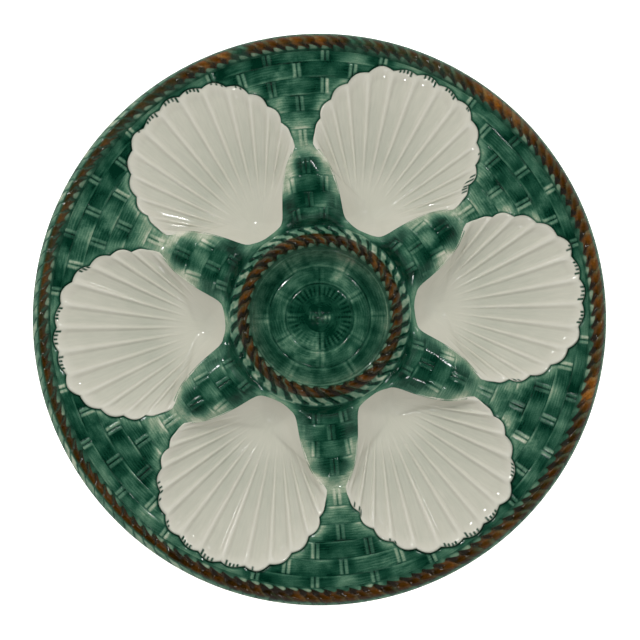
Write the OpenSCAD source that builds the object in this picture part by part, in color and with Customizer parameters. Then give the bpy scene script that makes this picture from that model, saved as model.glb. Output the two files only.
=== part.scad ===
// Oyster plate in glazed earthenware. Six scallop shell wells stand round a sauce well,
// on a ground of basket weave, with a rope round the rim and another round the sauce well.
// Lengths are millimetres. The origin is the middle of the foot ring's underside, +Z is up,
// and the first shell lies along +X. Angles run anticlockwise, seen from above.

/* [Plate] */
// Radius to the outer lip
plate_r = 125; // [121:1:129]
// How far the outer lip stands out past the turned back
lip_overhang_w = 1.4; // [1:0.1:2]
// Thickness of the turned back under the relief
back_wall = 3; // [2.6:0.1:3.6]
// Radius of the level middle of the turned back's top
level_r = 57; // [54:1:59]
// How far the turned back's top climbs from its level middle to the lip
back_rise = 12.5; // [11.5:0.5:13]

/* [Foot ring] */
// Radius of the foot ring's middle
foot_r = 62; // [58:1:66]
// Width of the foot ring where it meets the back
foot_w = 5; // [4:0.5:6.5]
// Height of the foot ring
foot_h = 3; // [2:0.25:4]
// How much each flank of the foot ring draws in on its way down
foot_draft_w = 0.8; // [0.4:0.1:1.2]

/* [Ground] */
// Height of the ground above the level back where it meets the sauce well's rope
ground_low = 11.5; // [10.5:0.5:12]
// How much higher the ground is where it meets the rim rope
ground_climb_h = 3; // [2.5:0.25:4]
// Gap between the round ends of two neighbouring shells where they come closest
neck_w = 7.8; // [7:0.1:9]
// How far out of that closest place the petals end and the weave panels start
neck_out = 6.7; // [5.5:0.1:8]
// Width of a woven strand of the ground, rim to middle
weft_w = 7.1; // [6:0.5:9]
// How far a woven strand swells above the ground
weft_swell_h = 0.7; // [0.4:0.1:1]
// Angle between two upright pairs of the weave, seen from the fan's own middle
warp_angle = 5.73; // [5:0.25:7]
// How far behind the plate's middle the fan of uprights has its own middle
warp_back = 15; // [10:1:20]
// Width of one upright bar of a pair
warp_bar_w = 1.3; // [0.9:0.1:1.6]
// Distance between the two bars of a pair, middle to middle
warp_bar_gap = 2.6; // [2.2:0.1:3]

/* [Petals] */
// How far a petal swells above the ground
petal_swell_h = 3.6; // [2.5:0.25:4.5]
// Width of a petal's rounded margin beside the shells and the neck
petal_round_w = 9; // [7:0.5:10]
// Width of its margin beside the sauce well's rope
petal_toe_w = 6; // [4:0.5:9]

/* [Shells] */
// Gap between a shell's tip and the rim rope
tip_gap = 0.4; // [0.3:0.1:1]
// Depth of the lip between the hinge's edge and the middle of the ribs
hinge_lip_w = 3.3; // [2.8:0.1:3.8]
// Distance from the middle of the ribs to a shell's straight side
side_gap = 8; // [7.5:0.1:8.5]
// How far a petal bows into a shell's side
side_bow_depth = 2.4; // [1.5:0.1:2.6]
// Depth of a shell's pool below the ground at the hinge
pool_depth = 8.8; // [7:0.2:9]
// Distance from the middle of the ribs to the deepest place
pool_reach = 10.3; // [9:0.1:12]
// How far a shell's scalloped edge stands above the ground
edge_proud_h = 1; // [0.4:0.1:1.5]
// Height of the ribs at the scalloped edge
rib_h = 1.1; // [0.6:0.1:1.4]
// Depth of the notch where a rib meets the edge
notch_depth = 1; // [0.4:0.1:1.2]

/* [Rim rope] */
// Width of the rim rope with both its flanks
rim_w = 7.6; // [7:0.2:8.4]
// Height of the rim rope above the ground beside it
rim_rope_h = 4.5; // [3.5:0.25:5.5]
// Depth of the grooves between its strands
rim_groove = 0.5; // [0.3:0.05:0.7]
// Number of strands that cross the crest
rim_strand_count = 132; // [120:4:144]

/* [Sauce well] */
// Radius of the well's floor
well_r = 30.4; // [29:0.2:32]
// Depth of the well's floor below the ground at the rope
well_depth = 7.5; // [6:0.25:8]
// Width of the well's rope with both its flanks
well_rope_w = 10; // [9:0.25:11]
// Distance from the well's floor to the rope's crest
well_crest_w = 3.9; // [3.4:0.1:4.6]
// Height of the well's rope above the ground beside it
well_rope_h = 5.5; // [4:0.25:6]
// Depth of the grooves between its strands
well_groove = 0.8; // [0.5:0.1:1]
// Number of strands that cross the crest
well_strand_count = 36; // [30:2:42]
// Depth of the joints between the rings of the woven floor
floor_joint = 0.5; // [0.3:0.1:0.8]

/* [Hidden] */
$fn = 180;
// Shells round the plate, and the turn from one to the next
shell_count = 6;
shell_angle = 360 / shell_count;
// Overrun of every cut past the faces that it opens
over = 2;
// Play between a field with straight facets and the round wall that it stands against
fit_gap = 0.06;

// Radii that the fields share
rim_in_r = plate_r - rim_w;
body_r = plate_r - lip_overhang_w;
rope_out_r = well_r + well_rope_w;
foot_out_r = foot_r + foot_w / 2;
foot_in_r = foot_r - foot_w / 2;

// Heights that the fields share
level_z = foot_h + back_wall;
ground_in_z = level_z + ground_low;
ground_out_z = ground_in_z + ground_climb_h;
floor_z = ground_in_z - well_depth;

// Height of the turned back's top, on which every field of the relief is seated
function seat_z(r) = level_z + back_rise * max(0, r - level_r) / (plate_r - level_r);

// Height of the ground between the two ropes
function ground_z(r) = ground_in_z
    + ground_climb_h * (r - rope_out_r) / (rim_in_r - rope_out_r);

function smooth(t) = let (k = max(0, min(1, t))) k * k * (3 - 2 * k);
function reach(p) = norm([p[0], p[1]]);
function turned(p, a) = [p[0] * cos(a) - p[1] * sin(a), p[0] * sin(a) + p[1] * cos(a)];

// A shell lies along +X in its own frame: its ribs spread from apex_x, near the hinge
apex_x = rope_out_r + hinge_lip_w;
// Its round end touches the rim rope's clearance and leaves half the neck's gap at each side
fan_r = ((rim_in_r - tip_gap) * sin(shell_angle / 2) - neck_w / 2) / (1 + sin(shell_angle / 2));
fan_x = rim_in_r - tip_gap - fan_r;
neck_r = fan_x * cos(shell_angle / 2) + neck_out;
pool_x = apex_x + pool_reach;
pool_z = ground_in_z - pool_depth;
hinge_r = rope_out_r + fit_gap;
// Turn of a shell's straight side from its axis, and the side's length
side_angle = 45;
side_long = fan_r;
// Turn past the side's own from which on it bounds the shell
side_least_angle = 1;
// Turn from the axis, seen from the pool, past which the round end no longer bounds the shell
fan_end_angle = 80;
// The higher this power, the sharper the corners between the parts of the border
corner_power = 11;
// Share of the fan's radius past the apex where the edge starts to stand proud
proud_from_share = 0.5;

// Ribs on each side of a shell, the turn between them at its middle, and how it closes up
rib_count = 6.5;
rib_step_angle = 8.8;
rib_squeeze_share = 0.002;
function rib_angle(x) = rib_step_angle * x * (1 - rib_squeeze_share * x * x);
// Fades the ribs in from the pool and towards the shell's sides
rib_start_r = 17;
rib_full_r = 30;
rib_side_angle = 57;
rib_pool_share = 0.5;

// Share of the way from a rib, 0, to the middle of a flute, 1, at an angle of the fan
function rib_index(a, lo = 0, hi = rib_count + 1, n = 12) = let (mid = (lo + hi) / 2)
    n == 0 ? mid
    : rib_angle(mid) < a ? rib_index(a, mid, hi, n - 1) : rib_index(a, lo, mid, n - 1);
function flute_share(a) = abs(cos(180 * rib_index(abs(a))));

// Distance from a point on the shell's axis to its border, one way for each part of it
function fan_reach(c, a) = let (d = fan_x - c, b = min(a, fan_end_angle))
    d * cos(b) + sqrt(fan_r * fan_r - pow(d * sin(b), 2));
function side_reach(c, a) = let (
        gap = side_gap + (c - apex_x) * sin(side_angle),
        lean = a - side_angle,
        along = lean > side_least_angle ? gap / tan(lean) - (c - apex_x) * cos(side_angle) : plate_r,
        half = side_long / 2,
        bow = side_bow_depth * max(0, 1 - pow((along - half) / half, 2)))
    lean > side_least_angle ? (gap - bow) / sin(lean) : plate_r;
function hinge_reach(c, a) = let (
        across = -c * cos(a),
        root = across * across - c * c + hinge_r * hinge_r)
    a > 90 && root > 0 ? across - sqrt(root) : plate_r;

// The border itself, with its corners rounded and its ribbed end scalloped
function border_reach(a) = let (b = abs(a))
    pow(pow(1 / fan_reach(pool_x, b), corner_power) + pow(1 / side_reach(pool_x, b), corner_power)
        + pow(1 / hinge_reach(pool_x, b), corner_power), -1 / corner_power);
function fan_angle(p) = atan2(p[1], p[0] - apex_x);
function scalloped(p) = let (
        a = abs(fan_angle(p)),
        fade = smooth((rib_side_angle - a) / rib_step_angle),
        out = [p[0] - fan_x, p[1]])
    p - out / norm(out) * notch_depth * (1 - flute_share(a)) * fade;
function border_point(a) = scalloped([pool_x + border_reach(a) * cos(a), border_reach(a) * sin(a)]);

// Angles of the border's points, seen from the pool: three to a flute, then the plain sides
rib_step_count = 3;
plain_angles = [76, 79, 83, 88, 94, 101, 109, 118, 128, 139, 147, 153, 160, 170];
function seen_from_pool(a) = let (r = fan_reach(apex_x, a))
    atan2(r * sin(a), apex_x + r * cos(a) - pool_x);
half_steps = floor(rib_count * rib_step_count);
half_angles = [for (i = [0 : half_steps]) seen_from_pool(rib_angle(i / rib_step_count))];
border_angles = concat(
    [for (i = [len(half_angles) - 1 : -1 : 1]) -half_angles[i]], half_angles, plain_angles, [180],
    [for (i = [len(plain_angles) - 1 : -1 : 0]) -plain_angles[i]]);
shell_border = [for (a = border_angles) border_point(a)];

// Powers of the rise from the pool to the border, towards the round end and towards the sides
bowl_end_power = 1.3;
bowl_side_power = 1.75;
function bowl_power(a) = bowl_end_power + (bowl_side_power - bowl_end_power) * (1 - cos(a));

// Height of a shell's surface
function shell_z(p) = let (
        q = [p[0] - pool_x, p[1]],
        a = atan2(q[1], q[0]),
        full = border_reach(a),
        share = min(1, norm(q) / full),
        edge = [pool_x + full * cos(a), full * sin(a)],
        proud = edge_proud_h * smooth((edge[0] - apex_x) / fan_r - proud_from_share),
        edge_z = ground_z(reach(edge)) + proud,
        fa = fan_angle(p),
        out = norm([p[0] - apex_x, p[1]]),
        fade = smooth((out - rib_start_r) / (rib_full_r - rib_start_r))
            * smooth((rib_side_angle - abs(fa)) / rib_step_angle)
            * (rib_pool_share + (1 - rib_pool_share) * share))
    pool_z + (edge_z - pool_z) * pow(share, bowl_power(a))
        - rib_h * fade * sin(90 * flute_share(fa));

// Solid under a relief: rings of points from its border in to one middle point, a plain foot
module relief_block(rings, middle) {
    n = len(rings[0]);
    m = len(rings);
    foot_z = level_z - over;
    top = [for (ring = rings) for (p = ring) p];
    bottom = [for (p = rings[0]) [p[0], p[1], foot_z]];
    all_points = concat(top, [middle], bottom);
    walls = [for (i = [0 : n - 1]) let (k = (i + 1) % n)
        [m * n + 1 + i, i, k, m * n + 1 + k]];
    tops = [for (j = [0 : m - 2]) for (i = [0 : n - 1]) let (k = (i + 1) % n)
        each [[j * n + i, (j + 1) * n + i, (j + 1) * n + k], [j * n + i, (j + 1) * n + k, j * n + k]]];
    caps = [for (i = [0 : n - 1]) let (k = (i + 1) % n) [(m - 1) * n + i, m * n, (m - 1) * n + k]];
    floor_face = [[for (i = [0 : n - 1]) m * n + 1 + i]];
    polyhedron(all_points, concat(walls, tops, caps, floor_face));
}

// Everything below the seat, cut from each field so that it sits on the turned back
module below_seat() {
    rotate_extrude()
        polygon([[0, -over], [plate_r + over, -over], [plate_r + over, seat_z(plate_r + over)],
                 [level_r, level_z], [0, level_z]]);
}

ring_shares = [1, 0.93, 0.8, 0.66, 0.52, 0.4, 0.3, 0.21, 0.13, 0.06];
module shell(index) {
    rings = [for (s = ring_shares) [for (e = shell_border)
        let (p = [apex_x + s * (e[0] - apex_x), s * e[1]]) [p[0], p[1], shell_z(p)]]];
    color("#cdc8bb")
        rotate((index - 1) * shell_angle)
            difference() {
                relief_block(rings, [apex_x, 0, shell_z([apex_x, 0])]);
                below_seat();
            }
}

// The room that the two shells beside a field take
module shell_room() {
    for (side = [-1, 1])
        rotate(side * shell_angle / 2)
            translate([0, 0, -over])
                linear_extrude(ground_out_z + rim_rope_h + 2 * over)
                    polygon(shell_border);
}

// Distance from a point of a petal to a shell's side, the shell lying along +X
function off_side(p) = let (
        along = (p[0] - apex_x + p[1]) * cos(side_angle),
        half = side_long / 2,
        bow = side_bow_depth * max(0, 1 - pow((along - half) / half, 2)))
    (p[1] - p[0] + apex_x) * sin(side_angle) - side_gap + bow;
function margin(d, width) = sin(90 * max(0, min(1, d / width)));
function petal_z(p) = let (
        left = turned(p, shell_angle / 2),
        right = turned([p[0], -p[1]], shell_angle / 2),
        r = reach(p))
    ground_z(r) + petal_swell_h * margin(off_side(left), petal_round_w)
        * margin(off_side(right), petal_round_w) * margin(neck_r - r, petal_round_w)
        * margin(r - rope_out_r, petal_toe_w);

// A petal lies along +X in its own frame
petal_row_count = 9;
petal_column_count = 16;
module petal(index) {
    step = shell_angle / petal_column_count;
    low = hinge_r / cos(step / 2);
    rise = (neck_r - low) / petal_row_count;
    grid = [for (j = [0 : petal_row_count]) for (i = [0 : petal_column_count])
        let (r = low + j * rise, a = i * step - shell_angle / 2, p = [r * cos(a), r * sin(a)])
        [p[0], p[1], petal_z(p)]];
    color("#1f5a44")
        rotate((index - 0.5) * shell_angle)
            difference() {
                grid_block(grid, petal_row_count, petal_column_count);
                shell_room();
                below_seat();
            }
}

// Solid under a grid of points, rows by columns, with plain walls and a flat foot
module grid_block(grid, rows, columns) {
    w = columns + 1;
    n = len(grid);
    bottom = [for (p = grid) [p[0], p[1], level_z - over]];
    rim = concat([for (i = [0 : columns - 1]) i], [for (j = [0 : rows - 1]) j * w + columns],
                 [for (i = [columns : -1 : 1]) rows * w + i], [for (j = [rows : -1 : 1]) j * w]);
    cells = [for (j = [0 : rows - 1]) for (i = [0 : columns - 1]) let (a = j * w + i)
        each [[a, a + w + 1, a + w], [a, a + 1, a + w + 1]]];
    walls = [for (i = [0 : len(rim) - 1]) let (a = rim[i], b = rim[(i + 1) % len(rim)])
        [n + b, b, a, n + a]];
    floor_face = [[for (i = [len(rim) - 1 : -1 : 0]) n + rim[i]]];
    polyhedron(concat(grid, bottom), concat(cells, walls, floor_face));
}

// Top of a weave panel from the rim in: each woven strand swells between two joints
weft_step_count = 4;
weft_row_count = floor((rim_in_r - neck_r) / weft_w + 0.5);
weft_step_w = (rim_in_r - neck_r) / (weft_row_count * weft_step_count);
function weft_z(i) = let (r = neck_r + i * weft_step_w)
    ground_z(r) + weft_swell_h * (sin(180 * (i % weft_step_count) / weft_step_count) - 0.5);
module panel_ground() {
    rotate(-shell_angle / 2)
        rotate_extrude(angle = shell_angle)
            polygon(concat([[neck_r, seat_z(neck_r)], [rim_in_r, seat_z(rim_in_r)]],
                [for (i = [weft_row_count * weft_step_count : -1 : 0])
                    [neck_r + i * weft_step_w, weft_z(i)]]));
}

// Upright pairs of the weave: in every other row they stand half a place further round
warp_rise_share = 1.6;
module warp_bars() {
    slope = atan(ground_climb_h / (rim_in_r - rope_out_r));
    row_w = weft_step_count * weft_step_w;
    warp_h = warp_rise_share * weft_swell_h;
    places = floor(shell_angle / 2 / warp_angle);
    for (row = [0 : weft_row_count - 1])
        for (k = [-places : places]) {
            a = k * warp_angle;
            mid_r = neck_r + (row + 0.5) * row_w;
            far = warp_back * cos(a) + sqrt(mid_r * mid_r - pow(warp_back * sin(a), 2));
            round_angle = abs(asin(far * sin(a) / mid_r));
            if ((k + row) % 2 == 0 && round_angle < shell_angle / 2 - warp_angle / 2)
                translate([-warp_back, 0, 0])
                    rotate(a)
                        for (side = [-1, 1])
                            translate([far, side * warp_bar_gap / 2, ground_z(mid_r)])
                                rotate([0, -slope, 0])
                                    cube([row_w, warp_bar_w, warp_h], center = true);
        }
}

module weave_panel(index) {
    color("#2c6a50")
        rotate((index - 0.5) * shell_angle)
            difference() {
                union() {
                    panel_ground();
                    warp_bars();
                }
                shell_room();
            }
}

// The turned back, from the middle of its underside out to the lip and in again on the seat
module plate_body() {
    knee_r = foot_out_r + back_wall / 2;
    lip_in_r = body_r - back_wall / 2;
    color("#d9d8c8")
        rotate_extrude()
            polygon([[0, foot_h], [foot_out_r, foot_h], [knee_r, seat_z(knee_r) - back_wall],
                     [lip_in_r, seat_z(lip_in_r) - back_wall], [body_r, seat_z(body_r) - back_wall / 2],
                     [body_r, seat_z(body_r)], [level_r, level_z], [0, level_z]]);
}

module foot_ring() {
    color("#d2d0bf")
        rotate_extrude()
            polygon([[foot_in_r + foot_draft_w, 0], [foot_out_r - foot_draft_w, 0],
                     [foot_out_r, foot_h], [foot_in_r, foot_h]]);
}

// A rope laid in a ring: two lines of points to each strand, one on its crest and one in its
// groove, which slant across the rope with its lay. Rows hold [radius, height, depth of groove].
module rope_ring(strands, rows, lay, foot_z) {
    n = 2 * strands;
    m = len(rows);
    top = [for (j = [0 : m - 1]) for (i = [0 : n - 1])
        let (a = (i + lay * j / (m - 1)) * 180 / strands, z = rows[j][1] - (i % 2) * rows[j][2])
        [rows[j][0] * cos(a), rows[j][0] * sin(a), z]];
    feet = [for (j = [0, m - 1]) for (i = [0 : n - 1])
        let (p = top[j * n + i]) [p[0], p[1], foot_z]];
    faces = [for (i = [0 : n - 1]) let (k = (i + 1) % n, f = m * n)
        each concat(
            [for (j = [0 : m - 2]) each [[j * n + i, j * n + k, (j + 1) * n + k],
                                         [j * n + i, (j + 1) * n + k, (j + 1) * n + i]]],
            [[i, f + i, f + k], [i, f + k, k]],
            [[(m - 1) * n + i, (m - 1) * n + k, f + n + k], [(m - 1) * n + i, f + n + k, f + n + i]],
            [[f + i, f + n + i, f + n + k], [f + i, f + n + k, f + k]])];
    polyhedron(concat(top, feet), faces);
}

// Rim rope, from its inner foot out: shares of its width and height, and of its groove's depth
rim_width_shares = [0.02, 0.2, 0.42, 0.66, 0.85, 0.955];
rim_height_shares = [-0.04, 0.62, 0.97, 0.97, 0.6, -0.04];
rim_groove_shares = [0, 0.8, 1, 1, 0.9, 0];
rim_foot_share = 0.1;
rim_lay_count = 3;
module rim_rope() {
    rows = [for (j = [0 : len(rim_width_shares) - 1])
        [rim_in_r + rim_width_shares[j] * rim_w, ground_out_z + rim_height_shares[j] * rim_rope_h,
         rim_groove_shares[j] * rim_groove]];
    color("#6b3d1c") {
        rotate_extrude()
            polygon([[rim_in_r, seat_z(rim_in_r)], [body_r, seat_z(body_r)],
                     [plate_r, ground_out_z], [rim_in_r, ground_out_z]]);
        rope_ring(rim_strand_count, rows, rim_lay_count, ground_out_z - rim_foot_share * rim_rope_h);
    }
}

// Well rope, from the well out: distances from its inner foot as shares, and heights from its
// foot up to the crest
well_width_shares = [0.01, 0.13, 0.28, 0.5, 0.68, 0.86, 0.98];
well_height_shares = [0, 0.62, 0.96, 1, 0.66, 0.3, 0];
well_groove_shares = [0, 0.7, 1, 1, 0.9, 0.8, 0];
well_lay_count = 3;
module well_rope() {
    crest_z = ground_in_z + well_rope_h;
    foot_in_z = floor_z + floor_joint;
    rows = [for (j = [0 : len(well_width_shares) - 1])
        let (inner = well_width_shares[j] < well_crest_w / well_rope_w,
             low = inner ? foot_in_z : ground_in_z - floor_joint)
        [well_r + well_width_shares[j] * well_rope_w,
         low + well_height_shares[j] * (crest_z - low), well_groove_shares[j] * well_groove]];
    color("#7a4a20") {
        rotate_extrude()
            polygon([[well_r, level_z], [rope_out_r, level_z], [rope_out_r, ground_in_z],
                     [well_r + well_crest_w, ground_in_z], [well_r, foot_in_z]]);
        rope_ring(well_strand_count, rows, well_lay_count, floor_z);
    }
}

// Floor of the sauce well, a woven disc: shares of its radius where one ring meets the next
floor_ring_shares = [0, 0.214, 0.49, 0.734, 0.977];
floor_step_count = 4;
module centre_well() {
    tops = [for (i = [0 : len(floor_ring_shares) - 2]) for (j = [0 : floor_step_count - 1])
        let (t = j / floor_step_count, a = floor_ring_shares[i], b = floor_ring_shares[i + 1])
        [well_r * (a + t * (b - a)), floor_z - floor_joint * (1 - sin(180 * t))]];
    joint_r = well_r * floor_ring_shares[len(floor_ring_shares) - 1];
    side = [[0, level_z], [well_r, level_z], [well_r, floor_z], [joint_r, floor_z - floor_joint]];
    color("#24523f") {
        rotate_extrude()
            polygon(concat(side, [for (i = [len(tops) - 1 : -1 : 0]) tops[i]]));
        floor_bars();
    }
}

// Upright pairs of the woven floor, ring by ring: how many, and how far round they start
floor_pair_counts = [6, 6, 12];
floor_pair_angles = [0, 30, 0];
module floor_bars() {
    for (ring = [0 : len(floor_pair_counts) - 1]) {
        inner = well_r * floor_ring_shares[len(floor_ring_shares) - 2 - ring];
        outer = well_r * floor_ring_shares[len(floor_ring_shares) - 1 - ring];
        for (k = [0 : floor_pair_counts[ring] - 1])
            rotate(floor_pair_angles[ring] + k * 360 / floor_pair_counts[ring])
                for (side = [-1, 1])
                    translate([inner, side * warp_bar_gap / 2 - warp_bar_w / 2, floor_z - 2 * floor_joint])
                        cube([outer - inner, warp_bar_w, 3 * floor_joint]);
    }
}

plate_body();
foot_ring();
centre_well();
well_rope();
rim_rope();
shell(1);  // shell_1
shell(2);  // shell_2
shell(3);  // shell_3
shell(4);  // shell_4
shell(5);  // shell_5
shell(6);  // shell_6
petal(1);  // petal_1
petal(2);  // petal_2
petal(3);  // petal_3
petal(4);  // petal_4
petal(5);  // petal_5
petal(6);  // petal_6
weave_panel(1);  // weave_panel_1
weave_panel(2);  // weave_panel_2
weave_panel(3);  // weave_panel_3
weave_panel(4);  // weave_panel_4
weave_panel(5);  // weave_panel_5
weave_panel(6);  // weave_panel_6
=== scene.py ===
# %% [markdown]
# An oyster plate, dressed for its portrait. The real plate is one pressed piece of cream
# earthenware: six scallop shell wells round a sauce well, a ground of basket weave, a rope
# round the rim. It was painted with coloured lead glazes: clear on the shells, green on the
# weave, brown on the ropes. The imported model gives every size, and the pieces made here keep
# to them. Each glazed field is its own closed mesh that stands where its node stands.

import bpy
import numpy as np
from mathutils import Matrix, Vector


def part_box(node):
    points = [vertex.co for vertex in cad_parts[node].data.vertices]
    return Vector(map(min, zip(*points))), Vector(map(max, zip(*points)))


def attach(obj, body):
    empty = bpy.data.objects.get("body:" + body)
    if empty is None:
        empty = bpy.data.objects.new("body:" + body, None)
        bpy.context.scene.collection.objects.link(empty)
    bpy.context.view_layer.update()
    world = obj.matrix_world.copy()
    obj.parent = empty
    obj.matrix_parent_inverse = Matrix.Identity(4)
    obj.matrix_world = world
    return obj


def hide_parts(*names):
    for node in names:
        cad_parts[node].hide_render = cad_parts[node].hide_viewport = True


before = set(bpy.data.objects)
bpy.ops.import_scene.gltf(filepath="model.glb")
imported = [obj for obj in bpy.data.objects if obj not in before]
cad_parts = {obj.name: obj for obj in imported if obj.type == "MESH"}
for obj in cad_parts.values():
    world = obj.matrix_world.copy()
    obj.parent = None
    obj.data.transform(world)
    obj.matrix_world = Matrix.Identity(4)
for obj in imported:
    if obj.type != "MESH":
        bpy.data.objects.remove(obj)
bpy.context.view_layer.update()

MM = 0.001


def span(node):
    """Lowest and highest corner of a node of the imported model, in mm."""
    low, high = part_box(node)
    return np.array(low) / MM, np.array(high) / MM


# %% [markdown]
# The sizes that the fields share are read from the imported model. All lengths below are
# millimetres and all angles degrees, anticlockwise seen from above, with the first shell
# along +X. What the model doesn't give, such as the depth of a lip, is a named value.

# %% Radii and heights of the fields
plate_r = span("rim_rope")[1][0]
rim_in_r = span("weave_panel_1")[1][0]
rope_out_r = span("well_rope")[1][0]
well_r = span("centre_well")[1][0]
body_r = span("plate_body")[1][0]
tip_r = span("shell_1")[1][0]
rim_top_z = span("rim_rope")[1][2]
well_top_z = span("well_rope")[1][2]
level_z = span("centre_well")[0][2]
foot_h = span("foot_ring")[1][2]
seat_top_z = span("plate_body")[1][2]
LEVEL_R = 57
WELL_ROPE_H = 5.5
GROUND_CLIMB = 3
WELL_DEPTH = 7.5
NECK_R = 76.5
SHELLS = 6
TURN = 360 / SHELLS
ground_in_z = well_top_z - WELL_ROPE_H
ground_out_z = ground_in_z + GROUND_CLIMB
floor_z = ground_in_z - WELL_DEPTH
print("ground", ground_in_z, "to", ground_out_z, "floor", floor_z, "rim", plate_r, rim_in_r)


def smooth(t):
    """Goes from 0 to 1 with a soft start and a soft end."""
    k = np.clip(t, 0, 1)
    return k * k * (3 - 2 * k)


def ground_z(r):
    """Height of the ground between the wells, which climbs from the sauce well to the rim."""
    return ground_in_z + GROUND_CLIMB * (r - rope_out_r) / (rim_in_r - rope_out_r)


def seat_z(r):
    """Height of the seat under all the fields: level in the middle, then a cone."""
    rise = (seat_top_z - level_z) / (body_r - LEVEL_R)
    return level_z + rise * np.maximum(0, r - LEVEL_R)


def turned(x, y, angle):
    """Places turned about the plate's middle."""
    a = np.radians(angle)
    return x * np.cos(a) - y * np.sin(a), x * np.sin(a) + y * np.cos(a)


def at_turn(r, angle):
    """Places at a distance and an angle from the plate's middle."""
    return r * np.cos(np.radians(angle)), r * np.sin(np.radians(angle))


def between(r, start, stop):
    """Goes softly from 0 at the first place to 1 at the second, which may lie on either side."""
    return smooth((r - start) / (stop - start))


def mix(a, b, share):
    """The first value where the share is 0, the second where it is 1."""
    return a + (b - a) * share


def hump(d, half):
    """A soft hump, 1 in its middle, about as wide as twice the half width."""
    return np.exp(-(d / half) ** 2)


# %% Smooth noise that is the same on every run
def lattice(i, j, seed):
    """A number from 0 to 1 that belongs to the whole numbers given."""
    h = np.sin(i * 127.1 + j * 311.7 + seed * 74.7) * 43758.5453
    return h - np.floor(h)


def noise(x, y, seed):
    """Value noise from -1 to 1, with cells of 1."""
    i, j = np.floor(x), np.floor(y)
    u, v = smooth(x - i), smooth(y - j)
    low = lattice(i, j, seed) * (1 - u) + lattice(i + 1, j, seed) * u
    high = lattice(i, j + 1, seed) * (1 - u) + lattice(i + 1, j + 1, seed) * u
    return 2 * (low * (1 - v) + high * v) - 1


# %% [markdown]
# The outline of a shell is a round end on a circle, two sides where the petals bow in as half
# ellipses, and a short hinge on the rope's edge. Seen from a point within the shell each part is
# a distance that depends on the angle alone, so one rounded minimum joins them with soft corners.

# %% Sizes of the outline of a shell that lies along +X
FAN_R = 36.4
HINGE_LIP = 3.3
POOL_REACH = 10.3
POOL_DEPTH = 8.8
EYE_X = 68
PETAL_LOW = 42
PETAL_LONG = 35.5
PETAL_HALF_RIGHT = 11.7
PETAL_HALF_LEFT = 13.9
PETAL_RISE = 76
UNDER_ROPE = 0.8
HINGE_FLARE = 1.6
FLARE_LONG = 2.2
HINGE_ROUND = 28
NECK_POWER = 50
CORNER_POWER = 24
FAN_ENDS_TURN = 105
apex_x = rope_out_r + HINGE_LIP
pool_x = apex_x + POOL_REACH
fan_x = tip_r - FAN_R
pool_z = ground_in_z - POOL_DEPTH


# %% Flutes of a shell, counted from its middle line
RIBS = 6.5
RIB_TURN = 8.8
RIB_SQUEEZE = 0.002


def rib_angle(index):
    """Angle of a flute seen from the hinge. The outer flutes lie a little closer together."""
    return RIB_TURN * index * (1 - RIB_SQUEEZE * index * index)


INDEX_STEPS = np.linspace(0, 9, 901)
INDEX_ANGLES = rib_angle(INDEX_STEPS)


def flute_index(angle):
    """Whole numbers are middles of flutes and halves are ribs, with the sign of the angle."""
    return np.sign(angle) * np.interp(np.abs(angle), INDEX_ANGLES, INDEX_STEPS)


# %% The three parts of the outline, each as a distance that depends on the angle
def fan_reach(x, a):
    """Distance to the round end from a point x on the shell's middle line."""
    d, b = fan_x - x, np.radians(a)
    return d * np.cos(b) + np.sqrt(FAN_R**2 - (d * np.sin(b)) ** 2)


def side_line(half_width):
    """The edge of the petal beside a shell: its angles and distances seen from EYE_X."""
    rise = np.radians(np.linspace(0, PETAL_RISE, PETAL_RISE + 1))
    out = np.concatenate([np.linspace(rope_out_r - UNDER_ROPE, PETAL_LOW, 12, endpoint=False),
                          PETAL_LOW + PETAL_LONG * np.sin(rise)])
    half = half_width * np.sqrt(1 - (np.maximum(out - PETAL_LOW, 0) / PETAL_LONG) ** 2)
    half = half + HINGE_FLARE * np.exp((rope_out_r - out) / FLARE_LONG)
    x, y = turned(out, -half, TURN / 2)
    a, reach = np.degrees(np.arctan2(y, x - EYE_X)), np.hypot(x - EYE_X, y)
    a = np.concatenate([[180], a, [a[-1] - 10]])
    return a[::-1], np.concatenate([[HINGE_ROUND], reach, [plate_r]])[::-1]


RIGHT_LINE = side_line(PETAL_HALF_RIGHT)
LEFT_LINE = side_line(PETAL_HALF_LEFT)


def hinge_reach(x, a):
    """Distance to the rope's edge behind the hinge."""
    across = -x * np.cos(np.radians(a))
    root = across**2 - x * x + rope_out_r**2
    meets = (a > 90) & (root > 0)
    return np.where(meets, across - np.sqrt(np.where(root > 0, root, 0)), plate_r)


def round_minimum(p, q, power):
    """The smaller of two distances, with a corner that is the sharper the higher the power."""
    return (p**-float(power) + q**-float(power)) ** (-1 / power)


def border_reach(a):
    """Distance from EYE_X to the outline, without its scallops."""
    b = np.abs(a)
    fan = np.where(b < FAN_ENDS_TURN, fan_reach(EYE_X, b), plate_r)
    side = np.where(a > 0, np.interp(b, *LEFT_LINE), np.interp(b, *RIGHT_LINE))
    return round_minimum(round_minimum(fan, side, NECK_POWER), hinge_reach(EYE_X, b), CORNER_POWER)


# %% Notches and lobes of the outline
NOTCH_DEPTH = 1.5
NOTCH_TURNS = (53, 46)
FLAT_MIDDLE = 0.7
FLAT_FLUTES = (1.7, 1.1)
LOBE_OUT_RIGHT = 0.6
LOBE_OUT_LEFT = 1.4
LOBE_FLUTES = (1.3, 2.0)
LOBE_ENDS = (RIBS, RIBS - 1.3)
NECK_LOBE = 0.5
NECK_FLUTES = (5, 6)
NECK_OUT = (30, 38)


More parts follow.
